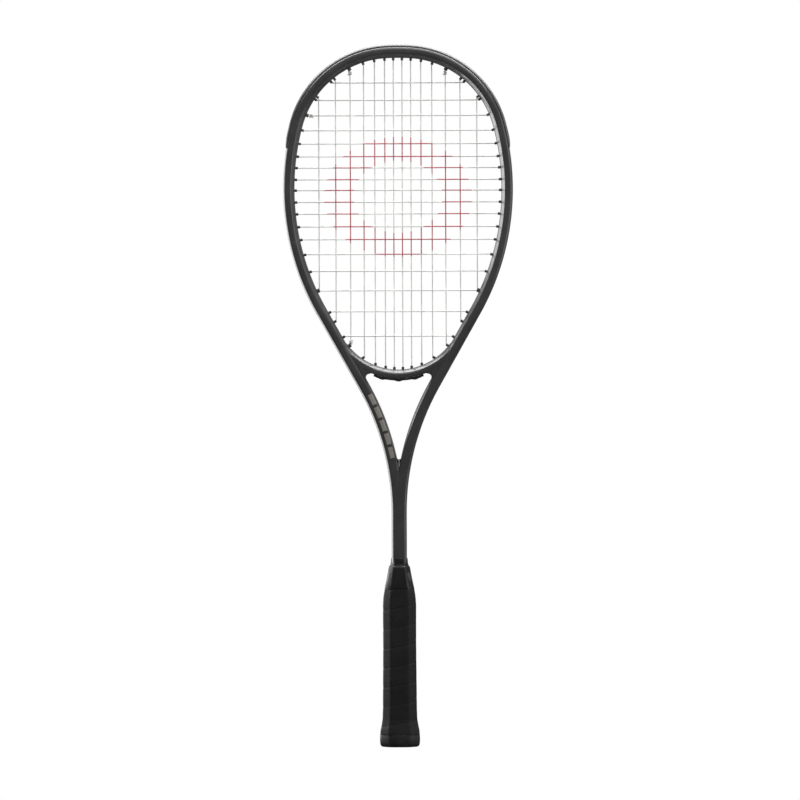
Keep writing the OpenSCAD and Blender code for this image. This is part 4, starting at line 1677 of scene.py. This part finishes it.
def rise_through(sketch: Sketch, rings: Sequence[Ring], step: float = 50.0) -> Sketch:
    """Extrude an outline through sections one after another.

    Args:
        sketch: The outline, which stands at the first section.
        rings: The sections, the first one included.
        step: The greatest rise between two rings, in millimetres.

    Returns:
        The same sketch.
    """
    for low, high in zip(rings, rings[1:]):
        parts = max(1, round(abs(high.z - low.z) / step))
        for k in range(1, parts + 1):
            wide = [low.wide + (high.wide - low.wide) * i / parts for i in (k - 1, k)]
            deep = [low.deep + (high.deep - low.deep) * i / parts for i in (k - 1, k)]
            sketch.next_ring((high.z - low.z) / parts, wide[1] / wide[0], deep[1] / deep[0])
    return sketch


GRIP_RINGS = (
    Ring(12.4, 19.3, 17.3, 9.0), Ring(16.0, 19.0, 16.9, 9.0), Ring(20.4, 18.05, 16.05, 8.6),
    Ring(26.4, 17.05, 15.05, 8.3), Ring(36.4, 16.65, 14.65, 8.1), Ring(100.0, 16.15, 14.25, 8.1),
    Ring(138.0, 16.25, 14.25, 8.1), Ring(144.0, 15.95, 14.15, 7.8), Ring(149.0, 15.3, 13.9, 7.4),
    Ring(153.2, 14.6, 13.65, 7.0), Ring(154.0, 14.15, 13.45, 6.6), Ring(162.0, 11.95, 12.85, 5.4),
    Ring(170.0, 10.45, 12.25, 4.6),
)


@dataclass
class WoundGrip:
    """The perforated tape, wound up the handle in overlapping turns."""

    thickness: float = 1.6
    pitch: float = 18.9
    first_seam: float = 22.7
    rounding: float = 1.4
    seam_depth: float = 0.5
    seam_after: float = 0.9
    seam_before: float = 0.7
    slope_w: float = 5.0
    slope_share: float = 0.35
    girth: float = 94.0
    longest_edge: float = 3.0
    row: float = 0.85
    pressed: tuple[float, float] = (12.6, 169.8)
    outer_share: float = 0.93

    def phase(self, spot: Vector) -> float:
        """How far across the strip a place lies, in millimetres from the seam below it."""
        turn = math.atan2(spot[0], -spot[1]) / (2 * math.pi)
        return (spot[2] - self.first_seam - turn * self.pitch) % self.pitch

    def sink(self, over: float) -> float:
        """How deep the surface lies at a distance from the seam.

        Args:
            over: The distance in millimetres.

        Returns:
            The depth in millimetres.
        """
        after = max(0.0, 1.0 - over / self.seam_after) ** 2
        slope = max(0.0, 1.0 - over / self.slope_w) * self.slope_share
        before = max(0.0, 1.0 - (self.pitch - over) / self.seam_before) ** 2 * 0.5
        return self.seam_depth * min(1.0, after + slope + before)

    def sleeve(self) -> bpy.types.Object:
        """The closed sleeve on the handle, before the winding shows.

        Returns:
            The sleeve.
        """
        inner = [ring.shrunk(self.thickness) for ring in GRIP_RINGS]
        sketch = Sketch("grip", inner[0].corners(), self.rounding, 3).split_long_edges(self.longest_edge, 7)
        sketch.next_ring(0.0, GRIP_RINGS[0].wide / inner[0].wide, GRIP_RINGS[0].deep / inner[0].deep)
        rise_through(sketch, GRIP_RINGS, self.row)
        sketch.next_ring(0.0, inner[-1].wide / GRIP_RINGS[-1].wide, inner[-1].deep / GRIP_RINGS[-1].deep)
        rise_through(sketch, inner[::-1])
        return sketch.finish()

    def build(self, skin: bpy.types.Material) -> bpy.types.Object:
        """Model the grip, press its seams in and map the strip.

        Args:
            skin: Its material.

        Returns:
            The finished grip.
        """
        piece = self.sleeve()

        def press(spot: Vector) -> Vector:
            """Sink the outer surface at the seams.

            Args:
                spot: A vertex's place in millimetres.

            Returns:
                Its new place.
            """
            if self.outline_reach(spot) < self.outer_share or not self.pressed[0] < spot[2] < self.pressed[1]:
                return spot
            flat = Vector((spot[0], spot[1]))
            flat = flat * (1.0 - self.sink(self.phase(spot)) / flat.length)
            return Vector((flat[0], flat[1], spot[2]))

        reshape(piece, press)
        self.map_strip(piece)
        smooth(piece, 40.0)
        dress(piece, skin)
        return piece

    @staticmethod
    def outline_reach(spot: Vector) -> float:
        """How near a place is to the outside of the grip, 1 being on it.

        Args:
            spot: The place in millimetres.

        Returns:
            The share of the way out to the surface; 0 above or below the grip.
        """
        for low, high in zip(GRIP_RINGS, GRIP_RINGS[1:]):
            if low.z <= spot[2] <= high.z:
                part = (spot[2] - low.z) / (high.z - low.z)
                wide = low.wide + (high.wide - low.wide) * part
                deep = low.deep + (high.deep - low.deep) * part
                bevel = low.bevel + (high.bevel - low.bevel) * part
                corner = (abs(spot[0]) + abs(spot[1])) / (wide + deep - bevel)
                return max(abs(spot[0]) / wide, abs(spot[1]) / deep, corner)
        return 0.0

    def map_strip(self, piece: bpy.types.Object) -> None:
        """Give the grip a UV map in millimetres along the strip and across it.

        Args:
            piece: The grip's mesh object.
        """
        mesh = piece.data
        layer = mesh.uv_layers.new(name="wound")
        for face in mesh.polygons:
            middle = face.center / MM
            turn = math.atan2(middle[0], -middle[1]) / (2 * math.pi)
            over = self.phase(middle)
            count = round((middle[2] - self.first_seam - turn * self.pitch - over) / self.pitch)
            for loop in face.loop_indices:
                spot = mesh.vertices[mesh.loops[loop].vertex_index].co / MM
                own = math.atan2(spot[0], -spot[1]) / (2 * math.pi)
                own += round(turn - own)
                across = spot[2] - self.first_seam - own * self.pitch - count * self.pitch
                layer.data[loop].uv = ((own + count) * self.girth, across)


@dataclass
class Collar:
    """The rubber collar that covers the top of the grip and hugs the shaft."""

    def build(self, rubber: bpy.types.Material) -> bpy.types.Object:
        """Model the collar and dress it.

        Args:
            rubber: Its material.

        Returns:
            The finished collar.
        """
        low = [ring.shrunk(-0.35) for ring in GRIP_RINGS[-3:]]
        skirt = [Ring(153.6, 14.58, 13.66, 6.95), Ring(154.6, 14.5, 13.86, 6.9), Ring(162.6, 12.7, 13.5, 5.8),
                 Ring(170.0, 11.3, 13.0, 5.1)]
        neck = [Ring(173.6, 10.72, 12.6, 4.75), Ring(175.2, 10.35, 12.4, 4.5), Ring(175.7, 10.2, 12.25, 4.4),
                Ring(176.0, 9.95, 12.0, 4.3), Ring(176.5, 9.4, 11.1, 3.9), Ring(176.8, 9.2, 10.95, 3.7),
                Ring(178.6, 8.6, 10.64, 3.2),
                Ring(183.4, 8.1, 10.22, 2.9), Ring(183.95, 7.98, 10.1, 2.7), Ring(184.22, 7.75, 9.9, 2.4)]
        bore = [Ring(184.22, 7.52, 9.57, 2.1), Ring(174.0, 7.52, 9.57, 2.1), Ring(172.1, 10.6, 12.4, 4.6)]
        rings = [*skirt, *neck, *bore, *low[::-1], skirt[0]]
        sketch = Sketch("collar_sleeve", rings[0].corners(), 2.0, 5)
        piece = rise_through(sketch, rings, 2.0).finish(fill=False)
        smooth(piece, 30.0)
        dress(piece, rubber)
        return piece


@dataclass
class ButtCap:
    """The moulded cup on the end of the handle, with its flared lip and the seat of the badge."""

    wall: float = 1.4
    floor: float = 3.0
    badge_r: float = 10.05
    badge_t: float = 0.8

    def build(self, rubber: bpy.types.Material) -> bpy.types.Object:
        """Model the cap and dress it.

        Args:
            rubber: Its material.

        Returns:
            The finished cap.
        """
        lip = [Ring(0.0, 16.6, 14.6, 8.2), Ring(0.25, 17.5, 15.5, 8.4), Ring(0.9, 18.35, 16.35, 8.6),
               Ring(2.0, 19.0, 17.0, 8.8), Ring(3.6, 19.4, 17.4, 9.0), Ring(7.0, 19.6, 17.6, 9.0),
               Ring(10.4, 19.5, 17.5, 9.0), Ring(11.8, 19.3, 17.3, 9.0), Ring(12.3, 18.9, 16.9, 8.9)]
        rim = [ring.shrunk(1.65) for ring in GRIP_RINGS[:4]]
        rim[0] = Ring(12.35, rim[0].wide, rim[0].deep, rim[0].bevel)
        top = rim[-1].shrunk(self.wall)
        rings = [*lip, *rim, top, Ring(self.floor, top.wide, top.deep, top.bevel)]
        sketch = Sketch("butt_cup", rings[0].corners(), 2.2, 5)
        piece = rise_through(sketch, rings).finish()
        deselect_all()
        bpy.ops.mesh.primitive_cylinder_add(vertices=96, radius=self.badge_r * MM,
                                            depth=2 * self.badge_t * MM, location=(0, 0, 0))
        cut(piece, bpy.context.object)
        smooth(piece, 30.0)
        dress(piece, rubber)
        return piece


# ---- studio ----


class Light(Enum):
    """The soft lights: place, target, width, height in metres and brightness."""

    LEFT = ((-0.552, 0.288, 0.36), (0.0, 0.0, 0.36), 0.44, 0.7, 5.6)
    TOP = ((0.0, 0.16, 1.2), (0.0, 0.0, 0.68), 1.6, 0.62, 9.5)
    FRONT = ((0.6, -1.9, 2.2), (0.0, 0.0, 0.35), 2.0, 1.6, 3.1)
    RIGHT = ((1.6, -0.45, 0.45), (0.0, 0.0, 0.36), 0.8, 1.6, 2.6)


@dataclass
class Studio:
    """The camera, the lights and the plain floor."""

    distance: float = 5.0
    span: float = 0.7818
    aim_x: float = 0.0012
    aim_z: float = 0.3385
    roll: float = 0.216
    surround: float = 0.36

    def camera(self) -> None:
        """A long lens square to the front."""
        data = bpy.data.cameras.new("view")
        data.sensor_width = 36.0
        data.lens = 36.0 * self.distance / self.span
        data.clip_end = 60.0
        camera = bpy.data.objects.new("view", data)
        bpy.context.scene.collection.objects.link(camera)
        camera.location = (self.aim_x, -self.distance, self.aim_z)
        turn = Matrix.Rotation(math.radians(self.roll), 3, "Y") @ Matrix.Rotation(math.pi / 2, 3, "X")
        camera.rotation_euler = turn.to_euler()
        bpy.context.scene.camera = camera

    def lights(self) -> None:
        """The soft boxes, each bright enough for its size."""
        for light in Light:
            spot, target, wide, high, strength = light.value
            data = bpy.data.lights.new(light.name.lower(), "AREA")
            data.shape = "RECTANGLE"
            data.size, data.size_y = wide, high
            data.energy = strength * math.pi * wide * high
            lamp = bpy.data.objects.new(light.name.lower(), data)
            bpy.context.scene.collection.objects.link(lamp)
            lamp.location = spot
            lamp.rotation_euler = (Vector(target) - Vector(spot)).to_track_quat("-Z", "Y").to_euler()

    def world(self) -> None:
        """A white surround to look at, and a dimmer one that lights the racket."""
        world = bpy.data.worlds.new("studio")
        world.use_nodes = True
        bpy.context.scene.world = world
        board = Board(world.node_tree)
        seen = board.add("LightPath").outputs["Is Camera Ray"]
        dim = board.add("Background", {"Color": grey(1.0), "Strength": self.surround})
        white = board.add("Background", {"Color": grey(1.0), "Strength": 1.0})
        both = board.add("MixShader", {0: seen, 1: dim.outputs[0], 2: white.outputs[0]})
        board.add("OutputWorld", {"Surface": both.outputs[0]})

    def floor(self) -> None:
        """A plain white floor."""
        deselect_all()
        bpy.ops.mesh.primitive_plane_add(size=3.0, location=(0, 0, -0.0004))
        floor = bpy.context.object
        floor.name = "floor"
        material = bpy.data.materials.new("floor_white")
        material.use_nodes = True
        board = Board(material.node_tree)
        matt = board.add("BsdfDiffuse", {"Color": grey(0.12)})
        glow = board.add("Emission", {"Color": grey(1.0), "Strength": 1.0})
        seen = board.add("LightPath").outputs["Is Camera Ray"]
        both = board.add("MixShader", {0: seen, 1: matt.outputs[0], 2: glow.outputs[0]})
        board.add("OutputMaterial", {"Surface": both.outputs[0]})
        dress(floor, material)

    def build(self) -> None:
        """Set the studio up."""
        self.camera()
        self.lights()
        self.world()
        self.floor()
        bpy.context.scene.view_settings.view_transform = "Standard"


def dress_packed(effects: Effects) -> None:
    """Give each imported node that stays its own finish.

    Args:
        effects: The shared groups.
    """
    nylon = Moulded("grommet_nylon", rough=0.45, scuffed=0.3)
    finishes = {
        "grommet_strip_left": nylon,
        "grommet_strip_right": nylon,
        "grommet_strip_throat": nylon,
        "bridge_core": Foam("core_foam"),
        "handle_half_front": Foam("pallet_foam"),
        "handle_half_back": Foam("pallet_foam_back", low=(0.4, 0.3, 0.18, 1.0)),
        "butt_badge": Metal("badge_disc", low=grey(0.12), high=grey(0.2), rough=0.4),
        "cap_staples": Metal("staple_wire"),
        "grip_staple": Metal("staple_wire_side", rough=0.34),
        "finishing_tape": Moulded("finishing_vinyl", low=grey(0.006), high=grey(0.011), rough=0.34),
    }
    made: dict[Finish, bpy.types.Material] = {}
    for node, finish in finishes.items():
        if finish not in made:
            made[finish] = finish.build(effects)
        dress(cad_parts[node], made[finish])
        LOG.info("%s: packed mesh, finish %s", node, finish.name)


def main() -> None:
    """Build the racket piece by piece."""
    logging.basicConfig(level=logging.INFO, format="%(name)s: %(message)s")
    Studio().build()
    effects = Effects()
    paint = CarbonPaint("carbon_lacquer", bars=True).build(effects)
    plain = CarbonPaint("carbon_lacquer_bridge").build(effects)
    place(FrameShell().build(paint), ["frame_tube"])
    place(ThroatBridge().build(plain), ["throat_bridge"])
    place(HeadGuard().build(Moulded("guard_nylon", low=grey(0.03), high=grey(0.042), rough=0.4,
                                      gloss=0.75, scuffed=0.2, grain_depth=0.012).build(effects)),
          ["head_guard"])
    gut = StringGut("string_gut").build(effects)
    mains, crosses = StringBed().build(gut)
    place(mains, ["main_string"])
    place(crosses, ["cross_string"])
    place(WoundGrip().build(GripSkin("grip_skin").build(effects)), ["grip_tape"])
    place(Collar().build(Moulded("collar_rubber", low=grey(0.008), high=grey(0.012), rough=0.31,
                                 scuffed=0.15, gloss=0.2).build(effects)), ["collar"])
    place(ButtCap().build(Moulded("cap_rubber", low=grey(0.006), high=grey(0.01), rough=0.46,
                                  scuffed=0.4, gloss=0.32).build(effects)), ["butt_cap"])
    dress_packed(effects)


if __name__ == "__main__":
    main()
